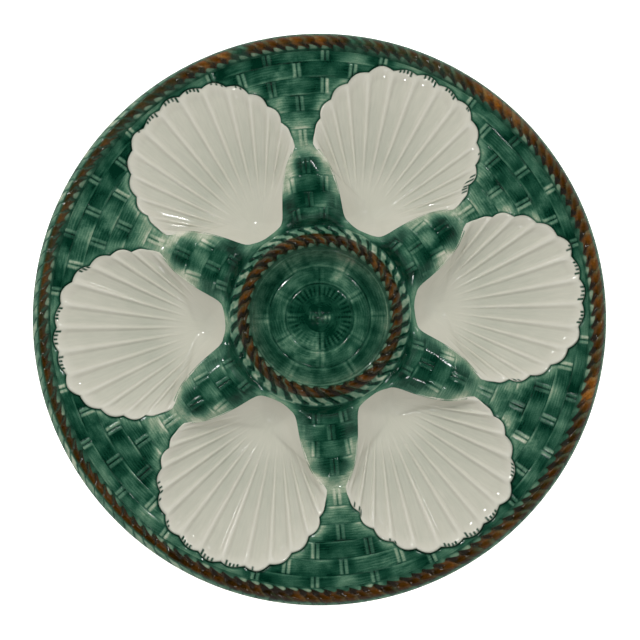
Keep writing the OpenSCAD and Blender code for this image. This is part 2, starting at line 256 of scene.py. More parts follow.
def scallop(x, y):
    """Moves points of the outline: in where a rib meets it, out on the lobes beside the rim."""
    a = np.degrees(np.arctan2(y, x - apex_x))
    index = flute_index(a)
    count = np.abs(index)
    share = np.abs(np.cos(np.pi * index))
    fade = between(np.abs(a), *NOTCH_TURNS)
    beside = between(count, *LOBE_FLUTES) * between(count, *LOBE_ENDS)
    neck = between(count, *NECK_FLUTES) * between(np.hypot(x - apex_x, y), *NECK_OUT)
    lobes = np.maximum(np.where(index > 0, LOBE_OUT_LEFT, LOBE_OUT_RIGHT) * beside, NECK_LOBE * neck)
    flat = FLAT_MIDDLE * between(count, *FLAT_FLUTES)
    k = (NOTCH_DEPTH * (1 - share) * fade + flat - lobes) / np.hypot(x - fan_x, y)
    return x - (x - fan_x) * k, y - y * k


def outline_reach(a):
    """Distance from EYE_X to the scalloped outline."""
    reach = border_reach(a)
    x, y = scallop(EYE_X + reach * np.cos(np.radians(a)), reach * np.sin(np.radians(a)))
    return np.hypot(x - EYE_X, y)


# %% Points of the outline, close together where the flutes end
FLUTE_STEPS = 36
SIDE_STEPS = 62
HINGE_STEPS = 34
HINGE_TURN = 152
index_steps = np.arange(-RIBS, RIBS + 1e-6, 1 / FLUTE_STEPS)
fan_turns = rib_angle(index_steps)
reach_from_apex = fan_reach(apex_x, np.abs(fan_turns))
fan_seen = np.degrees(np.arctan2(
    reach_from_apex * np.sin(np.radians(fan_turns)),
    apex_x + reach_from_apex * np.cos(np.radians(fan_turns)) - EYE_X))
side_seen = np.linspace(fan_seen[-1], HINGE_TURN, SIDE_STEPS + 1)[1:]
hinge_seen = np.linspace(HINGE_TURN, 360 - HINGE_TURN, HINGE_STEPS + 1)[1:-1]
seen = np.concatenate([fan_seen, side_seen, hinge_seen, 360 - side_seen[::-1]])
seen = (seen + 180) % 360 - 180
outline_x, outline_y = scallop(
    EYE_X + border_reach(seen) * np.cos(np.radians(seen)),
    border_reach(seen) * np.sin(np.radians(seen)))
print("outline points", len(seen))


AT_ONCE = 4000


def off_outline(x, y, own_turn):
    """Distance to the outline of the shell at own_turn, by its nearest point."""
    px, py = turned(outline_x, outline_y, own_turn)
    best = np.empty(len(x))
    for start in range(0, len(x), AT_ONCE):
        part = slice(start, start + AT_ONCE)
        gap = np.hypot(x[part, None] - px, y[part, None] - py)
        best[part] = gap.min(axis=1)
    return best


def inside_outline(x, y, own_turn, inset=0.0):
    """How far a point lies inside the outline of the shell at own_turn, below 0 outside."""
    u, v = turned(x, y, -own_turn)
    a = np.degrees(np.arctan2(v, u - EYE_X))
    return outline_reach(a) - np.hypot(u - EYE_X, v) - inset


# %% [markdown]
# A relief field starts as a flat grid from Blender's own primitive. Its vertices are then laid
# out along the field's outline and lifted to the relief, which no modelling operator can do:
# the flutes, strands and weave follow formulas. The rest is done as by hand, in edit mode: the
# doubles are merged, the rim is extruded down to the seat and the underside is filled.

# %% Helpers for selecting and shaping a piece
def only(piece):
    """Deselects everything and makes this piece the one that operators act on."""
    if bpy.context.object and bpy.context.object.mode != "OBJECT":
        bpy.ops.object.mode_set(mode="OBJECT")
    bpy.ops.object.select_all(action="DESELECT")
    piece.select_set(True)
    bpy.context.view_layer.objects.active = piece
    return piece


def points(piece):
    """The piece's vertices as x, y and z in mm."""
    co = np.empty(len(piece.data.vertices) * 3)
    piece.data.vertices.foreach_get("co", co)
    return (co.reshape(-1, 3) / MM).T


def move_points(piece, x, y, z):
    """Sets the piece's vertices to the places given in mm."""
    co = np.stack([x, y, z], axis=1) * MM
    piece.data.vertices.foreach_set("co", co.ravel())
    piece.data.update()


def flat_grid(name, columns, rows):
    """A flat grid, laid out from 0 to 1 both ways, with the number of faces given."""
    bpy.ops.object.select_all(action="DESELECT")
    bpy.ops.mesh.primitive_grid_add(x_subdivisions=columns, y_subdivisions=rows, size=1)
    piece = bpy.context.object
    piece.name = piece.data.name = name
    x, y, _ = points(piece)
    return piece, x * MM + 0.5, y * MM + 0.5


def merge_doubles(piece, distance=0.01):
    """Merges vertices that lie closer together than the distance in mm."""
    only(piece)
    bpy.ops.object.mode_set(mode="EDIT")
    bpy.ops.mesh.select_all(action="SELECT")
    bpy.ops.mesh.remove_doubles(threshold=distance * MM)
    bpy.ops.object.mode_set(mode="OBJECT")


def edit_rims(piece):
    """Opens a piece in edit mode with nothing but its open rims selected."""
    only(piece)
    bpy.ops.object.mode_set(mode="EDIT")
    bpy.ops.mesh.select_mode(type="EDGE")
    bpy.ops.mesh.select_all(action="DESELECT")
    bpy.ops.mesh.select_non_manifold(use_wire=False, use_multi_face=False,
                                     use_non_contiguous=False, use_verts=False)


def rim_down(piece, height):
    """Extrudes the open rim down and sets the new points to height(r)."""
    edit_rims(piece)
    bpy.ops.mesh.extrude_region_move(TRANSFORM_OT_translate={"value": (0, 0, -MM)})
    bpy.ops.object.mode_set(mode="OBJECT")
    new = np.zeros(len(piece.data.vertices), bool)
    piece.data.vertices.foreach_get("select", new)
    x, y, z = points(piece)
    z[new] = height(np.hypot(x, y))[new]
    move_points(piece, x, y, z)


def fill_below(piece):
    """Fills the lower rim and turns all faces outwards."""
    edit_rims(piece)
    bpy.ops.mesh.fill(use_beauty=True)
    face_outwards()


def bridge_below(piece):
    """Joins the two open rims of a ring and turns all faces outwards."""
    edit_rims(piece)
    bpy.ops.mesh.bridge_edge_loops()
    face_outwards()


def face_outwards():
    """Turns all faces of the piece in edit mode outwards and leaves that mode."""
    bpy.ops.mesh.select_mode(type="VERT")
    bpy.ops.mesh.select_all(action="SELECT")
    bpy.ops.mesh.normals_make_consistent(inside=False)
    bpy.ops.object.mode_set(mode="OBJECT")


def note(piece, name, values):
    """Writes one number per vertex for the materials to read."""
    kept = piece.data.attributes.get(name) or piece.data.attributes.new(name, "FLOAT", "POINT")
    kept.data.foreach_set("value", np.asarray(values, np.float32))


def note_place(piece, name, x, y, z):
    """Writes a place per vertex, in mm, that a pattern can follow."""
    kept = piece.data.attributes.new(name, "FLOAT_VECTOR", "POINT")
    kept.data.foreach_set("vector", np.stack([x, y, z], axis=1).astype(np.float32).ravel())


def check_closed(piece):
    """Prints the piece's size and stops if its mesh is open or inside out."""
    edges = np.zeros(len(piece.data.edges), int)
    corner_edges = np.empty(len(piece.data.loops), int)
    piece.data.loops.foreach_get("edge_index", corner_edges)
    np.add.at(edges, corner_edges, 1)
    piece.data.calc_loop_triangles()
    corners = np.empty(len(piece.data.loop_triangles) * 3, int)
    piece.data.loop_triangles.foreach_get("vertices", corners)
    p = np.stack(points(piece), axis=1)[corners.reshape(-1, 3)]
    volume = np.einsum("ij,ij->i", p[:, 0], np.cross(p[:, 1], p[:, 2])).sum() / 6
    print(f"{piece.name}: {len(p)} triangles, {volume:.0f} mm3, open edges {(edges != 2).sum()}")
    assert (edges == 2).all() and volume > 0, piece.name


# %% [markdown]
# The camera looks almost straight down, as the photographer stood over the plate. It is a
# little nearer to the bottom edge of the picture, and the plate lies turned by a few degrees.

# %% Camera at the photograph's angle
CAMERA_FAR = 660
PLATE_TURN = 5.4
FRAME_MM = 279.0
SENSOR = 36
TILT_DOWN = 4.4
TILT_LEFT = 0.6
AIM_UP = -2
AIM_Z = 20
NEAREST = 10


def picture_way(right, up):
    """A direction in the picture's plane, as a direction on the table."""
    x, y = turned(np.array(float(right)), np.array(float(up)), -PLATE_TURN)
    return Vector((float(x), float(y), 0))


camera_data = bpy.data.cameras.new("camera")
camera_data.sensor_width = SENSOR
camera_data.lens = SENSOR * CAMERA_FAR / FRAME_MM
camera = bpy.data.objects.new("camera", camera_data)
bpy.context.scene.collection.objects.link(camera)
bpy.context.scene.camera = camera
aim = picture_way(0, AIM_UP) * MM + Vector((0, 0, AIM_Z * MM))
lean = picture_way(-np.tan(np.radians(TILT_LEFT)), -np.tan(np.radians(TILT_DOWN)))
back = (lean + Vector((0, 0, 1))).normalized()
up = picture_way(0, 1)
up = (up - back * up.dot(back)).normalized()
right = up.cross(back)
camera.location = aim + back * CAMERA_FAR * MM
camera.rotation_euler = Matrix((right, up, back)).transposed().to_euler()
camera_data.clip_start = NEAREST * MM
print("camera", [round(v, 3) for v in camera.location], "lens", round(camera_data.lens, 1))

# %% [markdown]
# The floor is a plain pale sheet. The light is that of a photographer's tent: bright cloth all
# round and dark overhead, where the camera looks in. Level glaze then mirrors the dark opening
# and keeps its deep colour, and only steep flanks catch the cloth. Three softboxes, the
# strongest at the upper left, give the light a side, and three small lamps give the glints of
# wet-looking glaze.

# %% Floor
FLOOR_SIZE = 3000
PAPER_GLOW = 0.7
bpy.ops.object.select_all(action="DESELECT")
bpy.ops.mesh.primitive_plane_add(size=FLOOR_SIZE * MM)
floor = bpy.context.object
floor.name = floor.data.name = "floor"


def linear(hex_colour):
    """An sRGB hex colour as linear red, green, blue and alpha."""
    parts = [int(hex_colour[i:i + 2], 16) / 255 for i in (1, 3, 5)]
    return [p / 12.92 if p <= 0.04045 else ((p + 0.055) / 1.055) ** 2.4 for p in parts] + [1.0]


def add(material, kind, parts, output=0):
    """Adds one node and gives one of its outputs. Each part is a setting or an input, given as a
    value, a hex colour, the stops of a colour ramp, or another node's output, which is linked."""
    node = material.node_tree.nodes.new(kind)
    for key, value in parts.items():
        if isinstance(value, bpy.types.NodeSocket):
            material.node_tree.links.new(value, node.inputs[key])
        elif key == "stops":
            while len(node.color_ramp.elements) < len(value):
                node.color_ramp.elements.new(0.5)
            for element, (place, colour) in zip(node.color_ramp.elements, value):
                element.position = place
                element.color = linear(colour)
        elif isinstance(key, str) and hasattr(node, key):
            setattr(node, key, value)
        else:
            node.inputs[key].default_value = linear(value) if isinstance(value, str) else value
    return node.outputs[output] if node.outputs else None


def new_material(name):
    """An empty material."""
    material = bpy.data.materials.new(name)
    material.use_nodes = True
    material.node_tree.nodes.clear()
    return material


paper = new_material("white_backdrop_paper")
paper_shader = add(paper, "ShaderNodeBsdfDiffuse", {"Color": "#fbfbfb"})
paper_glow = add(paper, "ShaderNodeEmission", {"Color": "#ffffff", "Strength": PAPER_GLOW})
paper_sum = add(paper, "ShaderNodeAddShader", {0: paper_shader, 1: paper_glow})
add(paper, "ShaderNodeOutputMaterial", {"Surface": paper_sum})
floor.data.materials.append(paper)
floor.visible_glossy = False
print("floor", FLOOR_SIZE, "mm wide")


# %% Lamps and the tent
def lamp(name, picture_angle, elevation, far, size, power):
    """A square soft lamp that looks at the plate, placed by its angle in the picture."""
    data = bpy.data.lights.new(name, "AREA")
    data.shape = "SQUARE"
    data.size = size * MM
    data.energy = power
    light = bpy.data.objects.new(name, data)
    bpy.context.scene.collection.objects.link(light)
    a, e = np.radians(picture_angle), np.radians(elevation)
    way = picture_way(np.cos(a) * np.cos(e), np.sin(a) * np.cos(e)) + Vector((0, 0, float(np.sin(e))))
    light.location = way * far * MM
    light.rotation_euler = way.to_track_quat("Z", "Y").to_euler()
    return light


SOFTBOX_FAR = 1300
SOFTBOX_SIZE = 900
GLINT_FAR = 1200
# Name, angle in the picture and elevation in degrees, and power in watts.
SOFTBOXES = [("softbox_key", 125, 46, 7.2), ("softbox_right", 15, 50, 5.4), ("softbox_low", 250, 50, 3.8)]
# The same, with the lamp's size in mm before its power.
GLINTS = [("glint_left", 130, 52, 60, 1.6), ("glint_right", 50, 52, 50, 0.9),
          ("glint_low", 255, 54, 50, 0.9)]
for name, picture_angle, elevation, power in SOFTBOXES:
    lamp(name, picture_angle, elevation, SOFTBOX_FAR, SOFTBOX_SIZE, power).visible_glossy = False
for name, picture_angle, elevation, size, power in GLINTS:
    lamp(name, picture_angle, elevation, GLINT_FAR, size, power)
TENT = [(0.0, "#ffffff"), (0.62, "#ffffff"), (0.8, "#606060"), (0.9, "#282828"), (1.0, "#202020")]
TENT_STRENGTH = 0.26
world = bpy.data.worlds.new("light_tent")
world.use_nodes = True
world.node_tree.nodes.clear()
tent_way = add(world, "ShaderNodeTexCoord", {}, "Generated")
tent_up = add(world, "ShaderNodeSeparateXYZ", {0: tent_way}, "Z")
tent_colour = add(world, "ShaderNodeValToRGB", {"Fac": tent_up, "stops": TENT})
tent = add(world, "ShaderNodeBackground", {"Strength": TENT_STRENGTH, "Color": tent_colour})
add(world, "ShaderNodeOutputWorld", {"Surface": tent})
bpy.context.scene.world = world
bpy.context.scene.view_settings.view_transform = "Standard"
print(len(SOFTBOXES), "softboxes and", len(GLINTS), "glints")

# %% [markdown]
# The shells are the plate's light fields: wells pressed as scallops, glazed clear so that the
# cream clay shows. Thirteen flutes spread from the hinge. Their walls are steep and narrow and
# their floors nearly flat, and each ends in a lobe that curls up to the border. One shell is
# made along +X and copied, because the six came from one mould.

# %% Height of a shell's lip and the way from its pool to the border
EDGE_PROUD_SIDE = 0.35
EDGE_PROUD_FAN = 1.15
SOFTEN = np.ones(9) / 9


def edge_height(x, y):
    """Height of the lip, which stands a little proud of the ground."""
    proud = EDGE_PROUD_SIDE + (EDGE_PROUD_FAN - EDGE_PROUD_SIDE) * smooth((x - apex_x) / FAN_R - 0.5)
    return ground_z(np.hypot(x, y)) + proud


border_turns = np.arange(-180, 180)
pool_reach = np.interp(border_turns, np.degrees(np.arctan2(outline_y, outline_x - pool_x)),
                       np.hypot(outline_x - pool_x, outline_y), period=360)
pool_reach = np.convolve(np.tile(pool_reach, 3), SOFTEN, "same")[360:720]
print("pool to border", round(pool_reach.min(), 1), "to", round(pool_reach.max(), 1), "mm")

# %% Height of a shell's surface
RIB_H = 1.3
RIB_H_AT_POOL = 0.45
RIB_OUT = (15, 34)
RIB_SIDE_TURNS = (61, 54)
BOWL_END_POWER = 1.3
BOWL_SIDE_POWER = 1.75
LOBE_LONG = 6
LOBE_CURL = 0.75
WALL_SHARES = (0.1, 0.72)
FLOOR_CURVE = 0.14


def shell_fields(x, y):
    """Height of the surface, and the flute's number, its depth and the way in from the border."""
    a = np.degrees(np.arctan2(y, x - pool_x))
    full = np.interp(a, border_turns, pool_reach, period=360)
    share = np.clip(np.hypot(x - pool_x, y) / full, 0, 1)
    ex, ey = pool_x + full * np.cos(np.radians(a)), full * np.sin(np.radians(a))
    edge_z = edge_height(ex, ey)
    power = BOWL_END_POWER + (BOWL_SIDE_POWER - BOWL_END_POWER) * (1 - np.cos(np.radians(a)))
    bowl = pool_z + (edge_z - pool_z) * share**power
    turn = np.degrees(np.arctan2(y, x - apex_x))
    index = flute_index(turn)
    from_rib = np.abs(np.cos(np.pi * index))
    out = np.hypot(x - apex_x, y)
    fade = between(out, *RIB_OUT) * between(np.abs(turn), *RIB_SIDE_TURNS)
    way_in = np.maximum(0, inside_outline(x, y, 0))
    lobe = 1 - LOBE_CURL * smooth(1 - way_in / LOBE_LONG)
    channel = (1 - FLOOR_CURVE) * between(from_rib, *WALL_SHARES) + FLOOR_CURVE * from_rib
    depth = RIB_H * fade * lobe * (RIB_H_AT_POOL + (1 - RIB_H_AT_POOL) * share)
    return bowl - depth * channel, index, channel * fade, way_in


# %% Strokes that the mould cut into the lobes beside the rim
STROKE_W = 0.42
STROKE_DEEP = 0.25
STROKES_OUT = (15, 20)
# Each stroke is the number of the flute where it lies and its length in mm.
STROKES = [(-1.28, 1.9), (-1.14, 1.6), (-0.99, 1.5), (-0.85, 1.7),
           (-0.33, 2.7), (-0.18, 1.9), (-0.02, 1.8), (0.15, 1.8),
           (0.72, 2.4), (0.88, 1.8), (1.03, 1.6), (1.18, 1.4)]
OWN_STROKES = {
    1: [(-5.2, 1.2), (-5.05, 1.2), (1.76, 2.6), (1.9, 1.2)],
    2: [(-5.75, 2.4), (-5.55, 2.7), (-5.4, 2.2), (-5.15, 2.6), (-4.95, 2.4), (-4.0, 1), (-2.1, 1.2),
        (-2.0, 1.5)],
    3: [(-3.1, 1.1), (-2.9, 1.0), (-2.3, 1.0), (-2.1, 1.2), (-1.9, 1.0), (1.7, 1.1)],
    4: [(-3.35, 1.4), (-3.2, 2.0), (-3.05, 1.8)],
    5: [(-3.85, 1.6), (-3.6, 1.8), (-3.4, 1.5), (-3.15, 1.4), (-2.2, 1.6), (-2.05, 1.2), (1.8, 2.0)],
    6: [(-5.85, 2.0), (-5.45, 2.2), (-5.3, 1.6), (-3.6, 1.4), (-3.35, 1.2), (2.8, 1.6), (2.95, 1.8),
        (3.1, 1.6), (3.25, 1.3)]}


def stroke_marks(x, y, way_in, strokes):
    """1 in the middle of a stroke, 0 beside it. way_in is the distance in from the border."""
    index = flute_index(np.degrees(np.arctan2(y, x - apex_x)))
    out = np.hypot(x - apex_x, y) * np.radians(RIB_TURN)
    mark = np.zeros_like(x)
    for place, length in strokes:
        line = hump((index - place) * out, STROKE_W) * between(way_in, 0.1, 0.5)
        mark = np.maximum(mark, line * between(way_in, length + 0.2, length - 0.3))
    return mark * between(np.hypot(x - apex_x, y), *STROKES_OUT)


# %% Make one shell
EDGE_ROWS = 26
EDGE_DEEP = 8
EDGE_DEEP_SHARE = 0.4
INNER_ROWS = 84
LIP_ROUND = 0.9
LIP_LEVEL = 7
LIP_LEVEL_SHARE = 0.7
SAME_POINT = 0.0003
shell_columns = len(seen)
shell, u, v = flat_grid("shell", shell_columns, EDGE_ROWS + INNER_ROWS)
column = np.rint(u * shell_columns).astype(int) % shell_columns
row = np.rint(v * (EDGE_ROWS + INNER_ROWS))
long_reach = np.hypot(outline_x - apex_x, outline_y)
edge_share = np.minimum(EDGE_DEEP / long_reach, EDGE_DEEP_SHARE)
way = np.where(row <= EDGE_ROWS, (row / EDGE_ROWS) * edge_share[column],
               edge_share[column] + (1 - edge_share[column]) * (row - EDGE_ROWS) / INNER_ROWS)
sx = apex_x + (1 - way) * (outline_x[column] - apex_x)
sy = (1 - way) * outline_y[column]
sz, _, _, way_in = shell_fields(sx, sy)
from_lip = way * long_reach[column]
edge_gap = edge_height(outline_x, outline_y) - shell_fields(outline_x, outline_y)[0]
level_share = np.minimum(LIP_LEVEL / long_reach, LIP_LEVEL_SHARE)
sz = sz + edge_gap[column] * smooth(1 - way / level_share[column])
sz = sz - STROKE_DEEP * stroke_marks(sx, sy, way_in, STROKES)
sz = sz - LIP_ROUND * (1 - np.sqrt(1 - np.clip(1 - from_lip / LIP_ROUND, 0, 1) ** 2))
move_points(shell, sx, sy, sz)
merge_doubles(shell, SAME_POINT)
rim_down(shell, seat_z)
fill_below(shell)
check_closed(shell)

# %% [markdown]
# The rest of the ground is basket weave. Wide wefts run round the plate in rings and pass over and under
# pairs of narrow uprights. In plain weave, a pair that lies on top in one row lies below in the next. Each
# weft overlaps the next one inwards like a shingle, so that its inner edge stands up, stays thin in glaze
# and shows as a pale line with a dark pool at its foot. The pale line is partly painted highlight and the
# dark pool partly painted shadow.

# %% Relief and glaze of the weave
WARP_GAP = 2.0
WARP_W = 0.85
WARP_H = 0.55
WARP_TURN = 5.73
WARP_BACK = 15
WEFT_H = 0.5
LINE_STEP = 1.15
LINE_DEPTH = 0.045
ROW_WAVE = 0.45
LOW_WEFT = 0.35
MIDDLE_W = 0.6
MIDDLE_DEEP = 0.15
LIP_PLACE = 0.5
LIP_W = 0.42
FOOT_W = 0.55
# How much thicker the glaze gets from weft to weft, in the weft's dips, at its foot, where the darkening is
# also painted shadow, and between the two uprights of a pair.
TONE_CHANGE = 0.26
DIP_POOL = 0.26
FOOT_POOL_AND_SHADOW = 0.10
MIDDLE_POOL = 0.16
# How much thinner it is on the weft's lip, where the paleness is also painted highlight, on its fine lines
# and on the pair, fresh and worn.
LIP_THIN_AND_HIGHLIGHT = 0.26
LINE_THIN = 0.07
PAIR_THIN = 0.14
PAIR_WORN = 0.20


def warp_of(x, y):
    """Number of the upright at each place, and the step between two uprights in mm. The
    uprights fan out from a point behind the plate's middle."""
    fx = x + WARP_BACK
    return np.degrees(np.arctan2(y, fx)) / WARP_TURN, np.hypot(fx, y) * np.radians(WARP_TURN)


def weave(row_edges, place, warp, pitch, seed):
    """Height of plain weave and how much thicker than usual the glaze lies on it, where the pale edges and
    dark feet of the wefts are partly painted highlight and painted shadow. place runs across the rows in
    mm, warp counts the uprights, and pitch is the step between two in mm."""
    row = np.clip(np.searchsorted(row_edges, place, side="right") - 1, 0, len(row_edges) - 2)
    wave = ROW_WAVE * noise(warp * 1.3, row * 3.1, seed + 5)
    low, high = row_edges[row], row_edges[row + 1]
    d = np.clip(place + wave - low, 0, high - low)
    t = d / (high - low)
    # The pair of uprights, which shows where it lies on top.
    near = np.rint(warp)
    off = np.abs(warp - near) * pitch
    on_top = ((near + row) % 2 == 0) * between(t, 0, 0.1) * between(t, 1, 0.9)
    bar = smooth(1.45 - np.abs(off - WARP_GAP / 2) / WARP_W) * on_top
    middle = hump(off, MIDDLE_W) * on_top
    # The weft, a shingle that dips under the pairs, with fine lines along it.
    over = 0.5 - 0.5 * np.cos(np.pi * (warp + row))
    bow = between(t, 0, 0.08) * (1 - 0.5 * t) * between(t, 1, 0.97)
    wobble = 0.3 * noise(warp * 2.2, place * 0.3, seed)
    clear = smooth(0.15 + 1.3 * noise(warp * 1.5, place / 5, seed + 9))
    lines = np.cos(2 * np.pi * (d / LINE_STEP + wobble)) * clear
    weft = bow * mix(LOW_WEFT, 1, over) * WEFT_H + LINE_DEPTH * lines
    height = np.maximum(weft, bar * WARP_H) - MIDDLE_DEEP * middle
    # The glaze is thin on the weft's edge and on the pair, and pools at the foot and between. The pale edge
    # is also painted highlight and the dark foot painted shadow.
    tone = lattice(np.floor((warp + row) / 2), row, seed) - 0.5
    worn = smooth(0.5 + 1.1 * noise(warp * 1.4 + 3, row * 2.3, seed + 2))
    lip = hump(d - LIP_PLACE, LIP_W) * worn
    foot = hump(high - low - d, FOOT_W)
    on_weft = DIP_POOL * (0.5 - over) + FOOT_POOL_AND_SHADOW * foot - LIP_THIN_AND_HIGHLIGHT * lip - LINE_THIN * lines
    on_pair = MIDDLE_POOL * middle - (PAIR_THIN + PAIR_WORN * worn) * bar
    return height, TONE_CHANGE * tone + on_weft * (1 - bar) + on_pair


# %% [markdown]
# Between the shells lie two kinds of woven field, the petals near the sauce well and the panels
# near the rim. Both start as a grid that fills the sixth of the plate between two shells. What
# lies under the shells is deleted, and the rest's edge is drawn to their outlines.

# %% Cut a field to the shells beside it
HIDDEN_IN = 0.5
SLOPE_STEP = 0.01
SLOPE_LEAST = 0.5
NECK_ARCH = 2.6
NECK_ARCH_TURN = 2.6


def neck_r(turn):
    """Radius where a petal ends and the panel starts, arched between the two shells."""
    return NECK_R - NECK_ARCH * np.clip(1 - (turn / NECK_ARCH_TURN) ** 2, 0, 1)


def under_shells(x, y, inset=0.0):
    """True where a place lies under one of the shells beside a field along +X."""
    return np.maximum(inside_outline(x, y, TURN / 2, inset), inside_outline(x, y, -TURN / 2, inset)) > 0


def field_grid(name, columns, rows, low_r, high_r):
    """A grid bent round the plate, 60 degrees wide about +X."""
    piece, u, v = flat_grid(name, columns, rows)
    x, y = at_turn(low_r + v * (high_r - low_r), (u - 0.5) * TURN)
    move_points(piece, x, y, 0 * x)
    return piece


def cut_to_shells(piece):
    """Deletes the faces that lie under the two shells beside a field and draws the rest's rim
    to a line just inside their outlines."""
    x, y, z = points(piece)
    under = under_shells(x, y, HIDDEN_IN)
    only(piece)
    corners = np.empty(len(piece.data.loops), int)
    piece.data.loops.foreach_get("vertex_index", corners)
    hidden = under[corners.reshape(-1, 4)].all(axis=1)
    bpy.ops.object.mode_set(mode="EDIT")
    bpy.ops.mesh.select_mode(type="FACE")
    bpy.ops.mesh.select_all(action="DESELECT")
    bpy.ops.object.mode_set(mode="OBJECT")
    piece.data.polygons.foreach_set("select", hidden)
    bpy.ops.object.mode_set(mode="EDIT")
    bpy.ops.mesh.delete(type="FACE")
    bpy.ops.object.mode_set(mode="OBJECT")
    x, y, z = points(piece)
    for side in (TURN / 2, -TURN / 2) * 3:
        deep = inside_outline(x, y, side, HIDDEN_IN)
        gx = (inside_outline(x + SLOPE_STEP, y, side, HIDDEN_IN) - deep) / SLOPE_STEP
        gy = (inside_outline(x, y + SLOPE_STEP, side, HIDDEN_IN) - deep) / SLOPE_STEP
        k = np.maximum(deep, 0) / np.maximum(gx * gx + gy * gy, SLOPE_LEAST)
        x, y = x - k * gx, y - k * gy
    move_points(piece, x, y, z)


# %% Make one weave panel
PANEL_LOW_R = 73.6
PANEL_HIGH_R = rim_in_r + 0.5
PANEL_COLUMNS = 350
PANEL_ROWS = 124
PANEL_SIDE_TURNS = (27.5, 21.5)
SEAM_DEEP = 0.4
NECK_DEEP = 0.9
SEAM_POOL = 0.3
SLOPE_THIN = 0.3
PANEL_GLAZE = 0.57
# Radius where the glaze starts to change, where it ends, and how much thicker it is there.
PANEL_CHANGES = [(83.5, 89.5, 0.29), (99, 104, -0.1), (113, 115, -0.1)]
panel_rows = np.array([75.0, 83.2, 90.8, 98.0, 105.5, 112.6, 119.3])


def panel_fields(x, y):
    """Height and glaze of the ground between two shells, as if the plate had only this one."""
    r = np.hypot(x, y)
    turn = np.degrees(np.arctan2(y, x))
    gap = np.minimum(off_outline(x, y, TURN / 2), off_outline(x, y, -TURN / 2))
    height, glaze = weave(panel_rows, r, *warp_of(x, y), 3)
    full = between(np.abs(turn), *PANEL_SIDE_TURNS) * between(gap, 0, 1.2)
    arch = neck_r(turn)
    z = ground_z(r) + (height - WEFT_H / 2) * full
    z = z - NECK_DEEP * between(r, arch + 0.9, arch - 0.4) - SEAM_DEEP * hump(gap - 0.3, 0.6)
    depth = PANEL_GLAZE + sum(change * between(r, start, stop) for start, stop, change in PANEL_CHANGES)
    # Thin on the slopes up to the shells, pooled in the seams at their lips and at the neck.
    depth = depth + glaze * full - SLOPE_THIN * hump(gap, 3.2) * between(r, 84, 89) * between(r, 107, 101)
    seams = hump(gap - 0.2, 0.6) * between(r, 78, 83) + hump(r - arch - 0.2, 0.5)
    return z, depth + SEAM_POOL * seams


def raise_field(piece, fields):
    """Lifts a cut grid to its relief, notes its glaze and closes it down to the seat."""
    x, y, _ = points(piece)
    z, depth = fields(x, y)
    note(piece, "glaze", depth)
    move_points(piece, x, y, z)
    rim_down(piece, seat_z)
    fill_below(piece)
    check_closed(piece)


panel = field_grid("weave_panel", PANEL_COLUMNS, PANEL_ROWS, PANEL_LOW_R, PANEL_HIGH_R)
cut_to_shells(panel)
raise_field(panel, panel_fields)

# %% [markdown]
# Between two shells and the sauce well the ground swells into a petal. It carries the same
# weave, bent over its back, and the glaze has run off its shoulders and left them pale.

# %% Make one petal
PETAL_SWELL = 3.6
PETAL_ROUND = 8.5
PETAL_TOE = 6
PETAL_COLUMNS = 250
PETAL_ROWS = 116
PETAL_LOW_R = rope_out_r - 0.5
PETAL_HIGH_R = 77.6
PETAL_RELIEF = 0.55
PETAL_GLAZE = 0.83
PETAL_MARKS = 0.75
TIP_THIN = 0.4
PALE_LEAST = 0.2
PALE_MORE = 0.4
PALE_SOFT = 6.5
PALE_WIDE = 8
PALE_WIDE_LESS_IN = 2.5
PALE_WIDE_LESS_OUT = 3
TOE_THIN = 0.22
TOE_POOL = 0.1
petal_rows = np.array([34.0, 41.8, 47.6, 54.6, 62.0, 70.0, 78.0])


def margin(d, width):
    """A quarter round that climbs from 0 on the edge to 1 at the width given."""
    return np.sin(np.pi / 2 * np.clip(d / width, 0, 1))


def petal_fields(x, y):
    """Height and glaze of a petal between two shells."""
    r = np.hypot(x, y)
    arch = neck_r(np.degrees(np.arctan2(y, x)))
    left = off_outline(x, y, TURN / 2)
    right = off_outline(x, y, -TURN / 2)
    inside = under_shells(x, y)
    gap = np.where(inside, 0, np.minimum(left, right))
    swell = margin(left, PETAL_ROUND) * margin(right, PETAL_ROUND) * margin(r - rope_out_r, PETAL_TOE)
    swell = np.where(inside, 0, swell) * margin(arch + 1 - r, PETAL_ROUND)
    height, glaze = weave(petal_rows, r, *warp_of(x, y), 7)
    full = between(gap, 0.8, 2.8) * between(r, arch - 3, arch - 6)
    full = full * between(r, rope_out_r + 1, rope_out_r + 3)
    z = ground_z(r) + PETAL_SWELL * swell + (height - WEFT_H / 2) * full * PETAL_RELIEF
    depth = PETAL_GLAZE + PETAL_MARKS * glaze * full - TIP_THIN * between(r, 67, 74)
    # The pale shoulders, which are widest at mid-length.
    pale = (PALE_LEAST + PALE_MORE * between(r, 50, 61)) * between(r, 75, 69)
    wide = PALE_WIDE - PALE_WIDE_LESS_IN * between(r, 58, 52) - PALE_WIDE_LESS_OUT * between(r, 60, 68)
    depth = depth - pale * (smooth((wide - left) / PALE_SOFT) + smooth((wide - right) / PALE_SOFT))
    # The toe beside the rope, which is thin at its corners and pooled in its middle.
    depth = depth - TOE_THIN * between(r, 45.5, 42.5) * between(gap, 2.8, 0.3)
    return z, depth + TOE_POOL * between(r, 47, 43) * between(gap, 2.5, 5.5)


petal = field_grid("petal", PETAL_COLUMNS, PETAL_ROWS, PETAL_LOW_R, PETAL_HIGH_R)
cut_to_shells(petal)
raise_field(petal, petal_fields)

